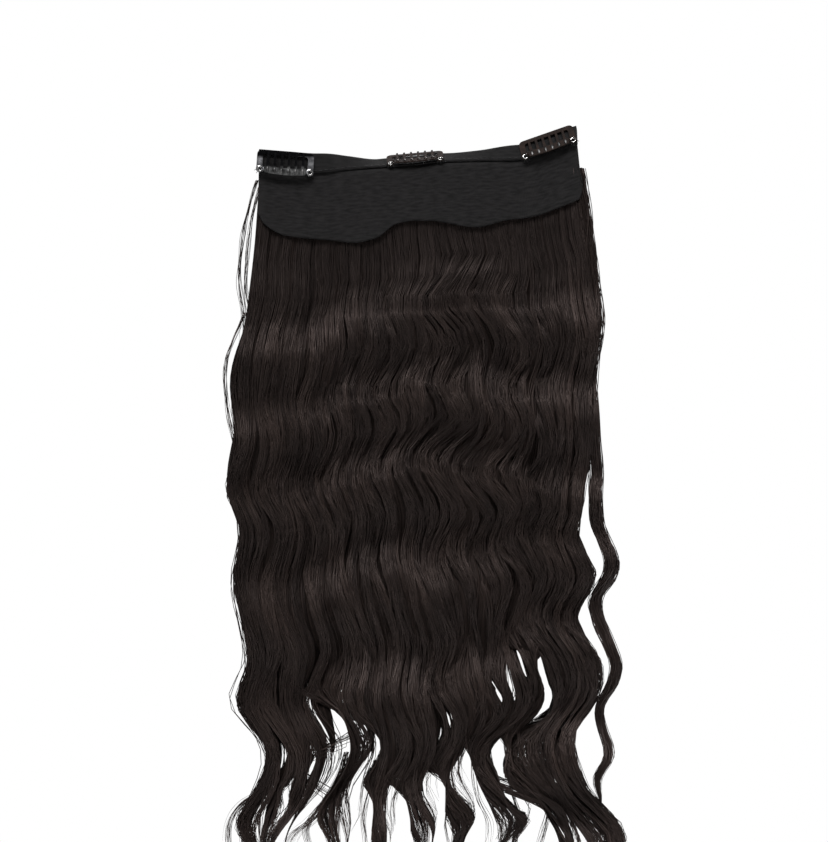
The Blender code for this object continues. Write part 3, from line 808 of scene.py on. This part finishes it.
def add_clusters(name, row):
    """The inside of each cluster, from within the curtain down to near its tip."""
    rings = 56
    lines = []
    for i in range(len(MAIN_LOCKS)):
        for cluster in CLUSTERS[i]:
            end = cluster.end - 0.012
            drop = down(CLUSTER_TOP, end, rings)
            left, right, _ = lock_sides(i, drop)
            reach = (right - left) / 2
            x = (left + right) / 2 + gather(cluster, cluster.across, reach, drop)
            phase = field(PHASE_FIELD, x, drop)
            turn = wave_turn(x, drop, phase)
            x = x + field(SHIFT_FIELD, x, drop) - side_wave(x, drop) * np.cos(turn)
            taper = mix(1.0, 0.08, smooth((drop - end + 0.055) / 0.055))
            taper = taper * smooth((drop - 0.205) / 0.04)
            pull = cluster.squeeze * smooth((drop - cluster.start) / 0.075)
            x, wide = between_slits(x, reach * 0.36 * (1 - pull) * taper, drop)
            wide = np.maximum(wide, 0.0003)
            depth = 0.02 * (2 * row - 1)
            place = points(x, hair_y(x, drop, row, depth, phase), hair_z(x, drop))
            lines.append((place, wide, pitch(drop) * 0.24 * taper))
    paths, wide, deep = (np.stack(column) for column in zip(*lines))
    return tubes(name, paths, wide, deep, 8, rng.uniform(0.1, 0.5, len(lines)))


# Thin strands that stand apart from the mass, as places in the front view, with drops
# and places in tenths of a millimetre
Wisp = namedtuple("Wisp", "drops places strands spread depth")
WISPS = (
    Wisp((60, 300, 600, 850, 1100),
         (-890, -955, -985, -960, -975), 12, 0.0012, 0.4),
    Wisp((100, 350, 650, 900, 1200),
         (-880, -930, -950, -920, -1000), 10, 0.0009, 0.1),
    Wisp((800, 1050, 1300, 1550, 1800, 2050),
         (-960, -1055, -1065, -1015, -1035, -960), 12, 0.0011, 0.2),
    Wisp((3250, 3450, 3520, 3620, 3760, 3920),
         (-820, -850, -960, -1035, -1045, -990), 16, 0.0011, 0.2),
    Wisp((3300, 3500, 3620, 3780, 3960),
         (-800, -880, -955, -965, -930), 14, 0.001, 0.0),
    Wisp((3250, 3420, 3560, 3640, 3710, 3820),
         (-395, -440, -520, -600, -690, -730), 30, 0.0019, 0.1),
    Wisp((3350, 3480, 3600, 3680, 3750, 3860),
         (-430, -490, -580, -620, -605, -550), 20, 0.0015, -0.2),
    Wisp((3300, 3480, 3620, 3750, 3920),
         (-240, -275, -303, -290, -330), 9, 0.0009, 0.0),
    Wisp((3100, 3300, 3500, 3650, 3850),
         (290, 305, 335, 400, 375), 8, 0.0009, 0.2),
    Wisp((3000, 3250, 3450, 3600, 3750, 3920),
         (480, 490, 520, 560, 545, 500), 14, 0.001, -0.2),
    Wisp((3000, 3220, 3420, 3550, 3680, 3860),
         (560, 570, 660, 720, 700, 640), 14, 0.001, -0.3),
    Wisp((3100, 3350, 3500, 3620, 3750, 3950),
         (840, 860, 930, 1020, 1080, 1090), 16, 0.0012, 0.0),
)


def add_wisps(name, look):
    """Bundles of loose strands along the wisps' places."""
    rings = 44
    paths = []
    radii = []
    for wisp in WISPS:
        drops = np.array(wisp.drops) / TENTHS
        places = np.array(wisp.places) / TENTHS
        for k in range(wisp.strands):
            end = drops[-1] - rng.exponential(0.006)
            drop = down(drops[0], end, rings)
            x = rounded_curve(drops, places, drop)
            share = (drop - drops[0]) / (drops[-1] - drops[0])
            off = rng.normal() * wisp.spread * (0.4 + 0.8 * share)
            ripple = np.sin(math.tau * drop / rng.uniform(0.02, 0.05) + rng.uniform(0, 6))
            x = x + off + 0.0004 * ripple
            y = hair_y(x, drop, 0, wisp.depth) + rng.normal() * 0.0015
            paths.append(points(x, y, hair_z(x, drop)))
            thick = rng.uniform(0.00011, 0.00018)
            radii.append(thick * mix(1.0, 0.3, smooth((drop - end + 0.02) / 0.02)))
    tints = np.clip(rng.normal(0.5, 0.2, len(paths)), 0, 1)
    obj = tubes(name, np.stack(paths), np.stack(radii), np.stack(radii), 3, tints)
    ride_hair(obj, look, "lower_weft")


# Materials


def node(tree, kind, inputs=None, **settings):
    made = tree.nodes.new(kind)
    for key, value in settings.items():
        setattr(made, key, value)
    for key, value in (inputs or {}).items():
        if isinstance(value, bpy.types.NodeSocket):
            tree.links.new(value, made.inputs[key])
        else:
            made.inputs[key].default_value = value
    return made


def ramp(tree, factor, stops):
    made = node(tree, "ShaderNodeValToRGB", {"Fac": factor})
    elements = made.color_ramp.elements
    while len(elements) < len(stops):
        elements.new(0.5)
    for element, (place, colour) in zip(elements, stops):
        element.position = place
        element.color = (*colour, 1.0)
    return made.outputs["Color"]


def grey(value):
    return (value, value, value)


def new_look(name, **constants):
    material = bpy.data.materials.new(name)
    material.use_nodes = True
    shader = material.node_tree.nodes["Principled BSDF"]
    for key, value in constants.items():
        shader.inputs[key.replace("_", " ")].default_value = value
    return material, material.node_tree, shader


def noise(tree, vector, scale, detail=2.0):
    inputs = {"Vector": vector, "Scale": scale, "Detail": detail}
    return node(tree, "ShaderNodeTexNoise", inputs).outputs["Fac"]


def stretch(tree, vector, scale):
    return node(tree, "ShaderNodeMapping", {"Vector": vector, "Scale": scale}).outputs[0]


def add_up(tree, value, share, rest):
    inputs = {0: value, 1: share, 2: rest}
    return node(tree, "ShaderNodeMath", inputs, operation="MULTIPLY_ADD").outputs[0]


def link_ramp(tree, shader, socket, factor, stops):
    tree.links.new(ramp(tree, factor, stops), shader.inputs[socket])


def link_bump(tree, shader, height, strength, distance):
    inputs = {"Height": height, "Strength": strength, "Distance": distance}
    bump = node(tree, "ShaderNodeBump", inputs)
    tree.links.new(bump.outputs[0], shader.inputs["Normal"])


def mix_colour(a, b, t):
    return tuple(mix(x, y, t) for x, y in zip(a, b))


def hair_look(name, dark, light, rough=0.47, gloss=0.52, streaks=0.0):
    """Dark brown hair. A strand's tone is its tint, which drifts along its length and holds
    painted shade and painted highlight bands, and a body of hair has fine streaks instead."""
    material, tree, shader = new_look(name, Roughness=rough, Specular_IOR_Level=gloss)
    shader.inputs["Specular Tint"].default_value = (1.0, 0.79, 0.74, 1.0)
    uv = node(tree, "ShaderNodeUVMap").outputs["UV"]
    drift = noise(tree, stretch(tree, uv, (9.0, 26.0, 1.0)), 1.0)
    link_ramp(
        tree, shader, "Roughness", drift, ((0.25, grey(rough - 0.06)), (0.8, grey(rough + 0.1)))
    )
    if streaks:
        lines = noise(tree, stretch(tree, uv, (streaks, 5.0, 1.0)), 1.0, 3.0)
        link_ramp(tree, shader, "Base Color", lines, ((0.38, dark), (0.62, light)))
        link_bump(tree, shader, lines, 1.0, 0.003)
        return material
    tint = node(tree, "ShaderNodeAttribute", attribute_name="tint").outputs["Fac"]
    both = add_up(tree, drift, 0.5, tint)
    level = node(tree, "ShaderNodeMath", {0: both, 1: 0.25}, operation="SUBTRACT").outputs[0]
    stops = ((0.0, dark), (0.55, mix_colour(dark, light, 0.4)), (1.0, light))
    link_ramp(tree, shader, "Base Color", level, stops)
    return material


def cloth_look(name, dark, light, thread, strength):
    """A dull woven cloth: thread is the pitch of its weave in metres on the UV map."""
    material, tree, shader = new_look(
        name, Roughness=0.9, Specular_IOR_Level=0.2, Sheen_Weight=0.05, Sheen_Roughness=0.5
    )
    uv = node(tree, "ShaderNodeUVMap").outputs["UV"]
    bands = {"Vector": uv, "Scale": math.tau / 20 / thread}
    warp = node(tree, "ShaderNodeTexWave", bands, bands_direction="X").outputs["Fac"]
    weft = node(tree, "ShaderNodeTexWave", bands, bands_direction="Y").outputs["Fac"]
    weave = node(tree, "ShaderNodeMath", {0: warp, 1: weft}, operation="MULTIPLY").outputs[0]
    cloud = noise(tree, uv, 60.0, 6.0)
    slub = noise(tree, stretch(tree, uv, (190.0, 800.0, 1.0)), 1.0, 3.0)
    level = add_up(tree, cloud, 0.35, add_up(tree, weave, 0.20, slub))
    link_ramp(tree, shader, "Base Color", level, ((0.48, dark), (0.88, light)))
    link_ramp(tree, shader, "Roughness", cloud, ((0.3, grey(0.82)), (0.7, grey(0.96))))
    link_bump(tree, shader, add_up(tree, slub, 0.6, weave), strength, 0.0002)
    return material


def metal_look(name, dark, light, rough, reflection_below=None, metallic=1.0, gloss=0.5):
    """Spring steel or its lacquer: cloudy tone and fine scratches, and where asked painted
    reflection: bright steel below a height only, with dark lacquer left above."""
    material, tree, shader = new_look(
        name, Metallic=metallic, Roughness=rough, Specular_IOR_Level=gloss
    )
    place = node(tree, "ShaderNodeTexCoord").outputs["Object"]
    cloud = noise(tree, place, 420.0, 5.0)
    scratch = noise(tree, stretch(tree, place, (300.0, 300.0, 4000.0)), 1.0)
    colour = ramp(tree, cloud, ((0.35, dark), (0.7, light)))
    if reflection_below is not None:
        # Painted reflection: bright steel below the height, dark lacquer above it.
        height = node(tree, "ShaderNodeSeparateXYZ", {0: place}).outputs["Z"]
        reach = {"Value": height, "From Min": reflection_below, "From Max": reflection_below + 0.0015}
        share = node(tree, "ShaderNodeMapRange", reach).outputs[0]
        both = {"Factor": share, "A": colour, "B": (0.010, 0.010, 0.011, 1.0)}
        colour = node(tree, "ShaderNodeMix", both, data_type="RGBA").outputs["Result"]
    tree.links.new(colour, shader.inputs["Base Color"])
    link_ramp(
        tree, shader, "Roughness", cloud, ((0.3, grey(rough - 0.06)), (0.75, grey(rough + 0.1)))
    )
    link_bump(tree, shader, scratch, 0.12, 0.0001)
    return material


def thread_look(name, dark, light):
    """Twisted sewing thread."""
    material, tree, shader = new_look(name, Roughness=0.55)
    uv = node(tree, "ShaderNodeUVMap").outputs["UV"]
    twist = {"Vector": stretch(tree, uv, (1.0, 1500.0, 1.0)), "Scale": 1.0}
    plies = node(tree, "ShaderNodeTexWave", twist, bands_direction="DIAGONAL").outputs["Fac"]
    link_ramp(tree, shader, "Base Color", plies, ((0.2, dark), (0.8, light)))
    link_bump(tree, shader, plies, 0.5, 0.0001)
    return material


DARK_HAIR = (0.0042, 0.0032, 0.0030)
LIGHT_HAIR = (0.0300, 0.0212, 0.0184)
strand_look = hair_look("hair_strands", DARK_HAIR, LIGHT_HAIR)
tress_look = hair_look(
    "hair_tresses", (0.004, 0.003, 0.0027), (0.024, 0.0166, 0.0142), 0.46, 0.3, 50.0
)
# The cores get a darker copy of the hair colour as painted shade.
shaded_core_look = hair_look(
    "hair_core", (0.003, 0.0022, 0.002), (0.018, 0.0125, 0.0107), 0.50, 0.25, 110.0
)
panel_look = cloth_look(
    "panel_weave", (0.0018, 0.0017, 0.0018), (0.0126, 0.0118, 0.0121), 0.0006, 0.7
)
hem_look = cloth_look(
    "hem_weave", (0.0022, 0.0021, 0.0022), (0.0110, 0.0103, 0.0106), 0.0005, 0.7
)

# The left clip is painted bright below these heights, as painted reflection, in metres above the
# clip line
FRAME_REFLECTION_TOP = 0.0040
COMB_REFLECTION_TOP = -0.0015
frame_look = metal_look("clip_steel_painted_reflection", (0.14, 0.14, 0.15), (0.42, 0.42, 0.44), 0.32, FRAME_REFLECTION_TOP)
comb_look = metal_look("comb_steel_painted_reflection", (0.05, 0.05, 0.05), (0.20, 0.20, 0.20), 0.40, COMB_REFLECTION_TOP)
lacquer_look = metal_look(
    "brown_lacquer", (0.010, 0.0065, 0.0055), (0.026, 0.017, 0.014), 0.55, None, 0.0, 0.06
)
# The ribs of the left and right clips are a lighter copy of the centre clip's, as painted highlight.
highlit_rib_look = metal_look("ribs_painted_highlight", (0.05, 0.05, 0.05), (0.18, 0.175, 0.175), 0.50)
dim_rib_look = metal_look("lacquered_ribs", (0.012, 0.009, 0.008), (0.04, 0.033, 0.03), 0.45)
bright_look = metal_look("eyelet_nickel", (0.55, 0.54, 0.53), (0.80, 0.79, 0.78), 0.18)
sewing_look = thread_look("sewing_thread", (0.003, 0.003, 0.0032), (0.011, 0.011, 0.0115))

# Hair pieces
for row, node_name, slot_name, start, side_by_side, count, pieces in (
    (0, "lower_weft", "lower_hair", LOWER_ROOT, 10, 2130, 3),
    (1, "upper_weft", "upper_hair", UPPER_ROOT, 8, 950, 2),
):
    side = "inner" if row == 0 else "outer"
    core = add_core(f"{side}_hair_core", row, start)
    ride_hair(core, shaded_core_look, node_name)
    inside = add_clusters(f"{side}_hair_clusters", row)
    ride_hair(inside, tress_look, node_name)
    table = tress_table(row, side_by_side)
    add_strands(
        f"{side}_strands", table, count, start, pieces, node_name, strand_look
    )


# The free lock
def free_line(drop):
    offsets = 0.003 * np.linspace(-1.0, 1.0, 5)
    x = sum(read_table(FREE_LOCK, drop + off, "x", True) for off in offsets) / 5
    wide = read_table(FREE_LOCK, drop, "width")
    y = hair_y(x, drop, 0, 0.1)
    return points(x, y, hair_z(x, drop)), wide


def add_free_lock():
    count, rings = 76, 84
    end = FREE_LOCK[-1].at
    drops = down(LOWER_ROOT, end, rings)
    path, wide = free_line(drops)
    half = wide[None]
    body = tubes("free_lock_core", path[None], 0.75 * half, 0.6 * half, 10, np.array([0.2]))
    ride_hair(body, tress_look, "lower_weft")
    paths = np.empty((count, rings, 3))
    radii = np.empty((count, rings))
    for n in range(count):
        last = end - rng.exponential(0.012)
        drop = down(LOWER_ROOT, last, rings)
        path, wide = free_line(drop)
        turn = rng.uniform(0, math.tau) + 2.5 * np.sin(math.tau * drop / 0.3 + rng.uniform(0, 6))
        out = rng.uniform(0.45, 1.25)
        path[:, 0] += out * wide * np.cos(turn)
        path[:, 1] += out * wide * 0.8 * np.sin(turn)
        paths[n] = path
        radii[n] = 0.00024 * mix(1.0, 0.3, smooth((drop - last + 0.03) / 0.03))
    tints = np.clip(rng.normal(0.5, 0.18, count), 0, 1)
    strands = tubes("free_lock_strands", paths, radii, radii, 3, tints)
    ride_hair(strands, strand_look, "lower_weft")


add_free_lock()
add_wisps("loose_strands", strand_look)


# Panel
def grid_mesh(name, columns, uv_columns, thickness, look):
    """A closed sheet of cloth from columns of points, with its UV map in metres."""
    across, down = columns.shape[:2]
    index = np.arange(across * down).reshape(across, down)
    quads = np.stack((index[:-1, :-1], index[:-1, 1:], index[1:, 1:], index[1:, :-1]), axis=-1)
    quads = quads.reshape(-1, 4)
    uvs = uv_columns.reshape(-1, 2)[quads.ravel()]
    obj = add_mesh(name, columns.reshape(-1, 3), [quads], uvs)
    shell = obj.modifiers.new("Cloth", "SOLIDIFY")
    shell.thickness = thickness
    shell.offset = 0.0
    obj.data.materials.append(look)
    return obj


# The place along the panel from which its faint folds spread
GRIP_X = -0.014


def panel_folds(s, drop):
    """How far the hanging cloth stands forward in faint folds below where it is held."""
    hang = smooth((drop - 0.007) / 0.02)
    angle = np.arctan2(s - GRIP_X, drop + 0.012)
    rays = np.sin(7.0 * angle + 0.6) ** 2 * np.exp(-((angle / 0.9) ** 2))
    waves = np.sin(s * 95 + 1.0) ** 2 * 0.5 + np.sin(s * 41 + 2.0) ** 2 * 0.5
    foot = smooth((drop - 0.02) / 0.02)
    return -0.0007 * rays * hang - 0.0009 * waves * foot


PANEL_THICKNESS = 0.0009


def add_panel():
    widths = PANEL_HALF_WIDTH * np.linspace(-1.0, 1.0, 141)
    share = np.linspace(0.0, 1.0, 47)
    top = -FOLD_MIDDLE
    s = np.repeat(widths[:, None], len(share), axis=1)
    drop = top + (panel_drop(widths)[:, None] - top) * share[None]
    columns = on_panel(s, drop, panel_folds(s, drop))
    uv = np.stack((s, drop), axis=-1)
    panel = grid_mesh("panel_cloth", columns, uv, PANEL_THICKNESS, panel_look)
    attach(panel, "panel")
    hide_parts("base_panel")
    return panel


def add_hem():
    widths = PANEL_HALF_WIDTH * np.linspace(-1.0, 1.0, 141)
    fold = np.linspace(0.0, math.pi, 13)
    leg = -FOLD_MIDDLE * np.arange(8) / 8
    drops = np.concatenate((leg, -FOLD_MIDDLE - HEM_OUT * np.sin(fold), leg[::-1]))
    outs = np.concatenate((np.full(8, -HEM_OUT), -HEM_OUT * np.cos(fold), np.full(8, HEM_OUT)))
    run = np.concatenate(([0], np.cumsum(np.hypot(np.diff(drops), np.diff(outs)))))
    s = np.repeat(widths[:, None], len(drops), axis=1)
    fuller = 1 + 0.13 * np.exp(-(((s - CLIP_X["centre"]) / 0.018) ** 4))
    columns = on_panel(s, drops[None] * fuller, outs[None])
    uv = np.stack((s, np.broadcast_to(run, s.shape)), axis=-1)
    hem = grid_mesh("folded_hem", columns, uv, HEM_CLOTH, hem_look)
    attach(hem, "panel")
    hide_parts("hem_band")
    return hem


def stitch_row(name, starts, ends, out):
    """Thread dashes on the cloth, from (s, drop) to (s, drop), standing out of it."""
    t = np.linspace(0.0, 1.0, 7)
    s = mix(starts[:, None, 0], ends[:, None, 0], t)
    drop = mix(starts[:, None, 1], ends[:, None, 1], t)
    lift = out[0] + (out[1] - out[0]) * np.sin(math.pi * t)
    paths = on_panel(s, drop, np.broadcast_to(lift, s.shape))
    radius = np.broadcast_to(0.00016 * (0.55 + 0.45 * np.sin(math.pi * t)), s.shape)
    row = thread_tubes(name, paths, radius)
    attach(row, "panel")


def thread_guide(tangent):
    return np.where(np.abs(tangent[..., 1:2]) > 0.9, (1.0, 0.0, 0.0), (0.0, 1.0, 0.0))


def thread_tubes(name, paths, radius):
    """Round tubes of thread along any paths."""
    sides = 6
    verts, index, faces, run = tube_faces(paths, thread_guide, radius, radius, sides)
    u = np.broadcast_to(np.arange(sides) / sides, index.shape)
    v = np.broadcast_to(run[..., None], index.shape)
    corner_uv = np.stack((u, v), axis=-1).reshape(-1, 2)
    corners = np.concatenate([part.ravel() for part in faces])
    obj = add_mesh(name, verts, faces, corner_uv[corners])
    obj.data.materials.append(sewing_look)
    return obj


def add_weft_seam():
    """The sewn top of the upper row: rows of thread over the hair's roots."""
    x = np.linspace(-0.0865, 0.0875, 170)
    lines = []
    for k in range(4):
        drop = UPPER_ROOT + 0.0002 + 0.0011 * k
        wobble = 0.00012 * np.sin(np.arange(len(x)) * 2.1 + 1.7 * k)
        y = hair_y(x, drop, 1, 1.1) + 0.0003
        lines.append(points(x, y, hair_z(x, drop) + wobble))
    paths = np.stack(lines)
    seam = thread_tubes("weft_seam", paths, np.full(paths.shape[:2], 0.00058))
    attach(seam, "panel")


panel = add_panel()
hem = add_hem()
add_weft_seam()
STITCH_PITCH = 0.0032
STITCH_LENGTH = 0.0021
STITCH_DROP = -0.0012
count = int(2 * PANEL_HALF_WIDTH / STITCH_PITCH)
places = np.linspace(-PANEL_HALF_WIDTH + 0.001, PANEL_HALF_WIDTH - 0.003, count)
front = -HEM_OUT - HEM_CLOTH / 2
drops = np.full(count, STITCH_DROP)
for name, side in (("hem_stitches_inner", front), ("hem_stitches_outer", -front)):
    starts = np.stack((places, drops), axis=-1)
    ends = np.stack((places + STITCH_LENGTH, drops), axis=-1)
    stitch_row(name, starts, ends, (side * 0.98, side * 1.12))


# Clips
def clip_place(x):
    out = -HEM_OUT - HEM_CLOTH / 2 - CLIP_STANDOFF - CLIP_SHEET / 2
    s = PLAN_RADIUS * math.asin(x / PLAN_RADIUS)
    step = EYELET_HALF_SPACING
    ends = [Vector(on_panel(s + side * step, 0.0, out)) for side in (-1, 1)]
    along = (ends[1] - ends[0]).normalized()
    up = Vector(on_panel(s, -STRIP_HEIGHT, out)) - Vector(on_panel(s, 0.0, out))
    up = (up - up.dot(along) * along).normalized()
    back = up.cross(along)
    place = Matrix((along, back, up)).transposed().to_4x4()
    place.translation = (ends[0] + ends[1]) / 2
    return place


def placed(verts, place):
    """Points of a clip's own axes in the frame of the whole."""
    matrix = np.array(place)
    return verts @ matrix[:3, :3].T + matrix[:3, 3]


def ring_mesh(name, middle, ring_radius, wire, place, look):
    """A rolled ring round an eyelet, in the clip's own XZ plane."""
    big = np.arange(24) * math.tau / 24
    small = np.arange(8) * math.tau / 8
    radius = ring_radius + wire * np.cos(small)[None]
    x = middle[0] + radius * np.cos(big)[:, None]
    z = middle[2] + radius * np.sin(big)[:, None]
    y = np.broadcast_to(middle[1] + 0.6 * wire * np.sin(small)[None], x.shape)
    verts = np.stack((x, y, z), axis=-1).reshape(-1, 3)
    index = np.arange(24 * 8).reshape(24, 8)
    right = np.roll(index, -1, axis=1)
    quads = np.stack((index, right, np.roll(right, -1, axis=0), np.roll(index, -1, axis=0)), axis=-1)
    verts = placed(verts, place)
    obj = add_mesh(name, verts, [quads.reshape(-1, 4)], verts[quads.ravel()][:, ::2])
    obj.data.materials.append(look)
    return obj


def bow(x):
    return SPINE_BOW * (1 - (x / SPINE_END) ** 2)


def rib_mesh(name, place):
    """The raised ribs along the comb's spine, one below each tooth."""
    rows, turns = 7, 14
    verts = []
    quads = []
    caps = []
    for k in range(TOOTH_COUNT):
        x0 = (k - (TOOTH_COUNT - 1) / 2) * TOOTH_PITCH
        base = len(verts)
        for j in range(rows):
            up = j / (rows - 1) * math.pi / 2 * 0.94
            for i in range(turns):
                angle = i * math.tau / turns
                verts.append(
                    (
                        x0 + 0.00085 * math.cos(angle) * math.cos(up),
                        -HINGE_OUT - CLIP_SHEET / 2 + 0.0001 - 0.00055 * math.sin(up),
                        -bow(x0) + 0.00165 * math.sin(angle) * math.cos(up),
                    )
                )
        ring = base + np.arange(rows * turns).reshape(rows, turns)
        after = np.roll(ring, -1, axis=1)
        quads.append(np.stack((ring[:-1], after[:-1], after[1:], ring[1:]), axis=-1).reshape(-1, 4))
        caps.append(ring[0][::-1])
        caps.append(ring[-1])
    verts = placed(np.array(verts), place)
    return add_mesh(name, verts, [np.concatenate(quads), np.array(caps)])


def add_eyelet_threads(side, place):
    """Threads that sew a clip on: each goes out of an eyelet, over its rim and down."""
    t = np.linspace(0.0, 1.0, 9)
    lines = []
    for end in (-1, 1):
        for degrees in (-125, -92, -58, -20):
            angle = math.radians(degrees)
            reach = 0.0030 * t
            x = end * (EYELET_HALF_SPACING + reach * math.cos(angle))
            y = mix(0.0002, 0.0014, t) - 0.0017 * np.sin(math.pi * t)
            lines.append(points(x, y, reach * math.sin(angle)))
    paths = placed(np.stack(lines), place)
    radius = np.full(paths.shape[:2], 0.00013)
    threads = thread_tubes(f"eyelet_threads_{side}", paths, radius)
    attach(threads, "panel")


for side, x in CLIP_X.items():
    place = clip_place(x)
    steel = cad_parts[f"clip_frame_{side}"]
    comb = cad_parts[f"clip_comb_{side}"]
    # The left clip gets light steel as painted reflection; the other clips get brown lacquer.
    steel_look = frame_look if side == "left" else lacquer_look
    spine_look = comb_look if side == "left" else lacquer_look
    for obj, look in ((steel, steel_look), (comb, spine_look)):
        obj.data.materials.clear()
        obj.data.materials.append(look)
    for end in (-1, 1):
        middle = (end * EYELET_HALF_SPACING, -CLIP_SHEET / 2, 0.0)
        word = "left" if end < 0 else "right"
        ring = ring_mesh(f"eyelet_{side}_{word}", middle, 0.00135, 0.00042, place, bright_look)
        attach(ring, "panel")
    add_eyelet_threads(side, place)
    ribs = rib_mesh(f"spine_ribs_{side}", place)
    # Lighter ribs on the left and right clips as painted highlight; dark lacquered ribs on the
    # centre clip.
    ribs.data.materials.append(dim_rib_look if side == "centre" else highlit_rib_look)
    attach(ribs, f"comb_{side}")


# Studio
def area_light(name, place, target, size, power):
    data = bpy.data.lights.new(name, "AREA")
    data.shape = "RECTANGLE"
    data.size, data.size_y = size
    data.energy = power
    light = bpy.data.objects.new(name, data)
    light.location = place
    light.rotation_euler = (Vector(target) - Vector(place)).to_track_quat("-Z", "Y").to_euler()
    light.visible_camera = False
    bpy.context.scene.collection.objects.link(light)


area_light("key", (-0.3, -1.6, 1.9), (0, 0, -0.22), (1.6, 0.9), 88)
area_light("fill", (0.9, -1.4, 0.0), (0, 0, -0.2), (1.0, 1.2), 2.5)
area_light("back_light", (0.3, 1.6, 1.0), (0, 0, -0.2), (1.2, 1.0), 25)


FLOOR_RADIUS = 1.4
FLOOR_Z = -0.62


def add_floor():
    count = 96
    angle = np.arange(count) * math.tau / count
    verts = points(FLOOR_RADIUS * np.cos(angle), FLOOR_RADIUS * np.sin(angle), FLOOR_Z)
    floor = add_mesh("floor", verts, [np.arange(count)[None]])
    material, tree, shader = new_look("pale_floor", Roughness=0.8)
    place = node(tree, "ShaderNodeTexCoord").outputs["Object"]
    cloud = noise(tree, place, 6.0, 4.0)
    link_ramp(tree, shader, "Base Color", cloud, ((0.3, grey(0.80)), (0.7, grey(0.86))))
    floor.data.materials.append(material)


add_floor()

world = bpy.data.worlds.new("studio")
world.use_nodes = True
tree = world.node_tree
background = tree.nodes["Background"]
ray = node(tree, "ShaderNodeLightPath").outputs["Is Camera Ray"]
strength = node(tree, "ShaderNodeMapRange", {"Value": ray, "To Min": 0.06, "To Max": 1.0})
background.inputs["Color"].default_value = (1.0, 1.0, 1.0, 1.0)
tree.links.new(strength.outputs[0], background.inputs["Strength"])
bpy.context.scene.world = world
bpy.context.scene.view_settings.view_transform = "Standard"

# Camera
CAMERA_BACK = 1.6
VIEW_WIDTH = 0.4604
data = bpy.data.cameras.new("camera")
data.sensor_fit = "HORIZONTAL"
data.sensor_width = 36
data.lens = data.sensor_width * CAMERA_BACK / VIEW_WIDTH
camera = bpy.data.objects.new("camera", data)
camera.location = (-0.0022, -CAMERA_BACK, -0.1412)
camera.rotation_euler = (math.pi / 2, 0, 0)
bpy.context.scene.collection.objects.link(camera)
bpy.context.scene.camera = camera
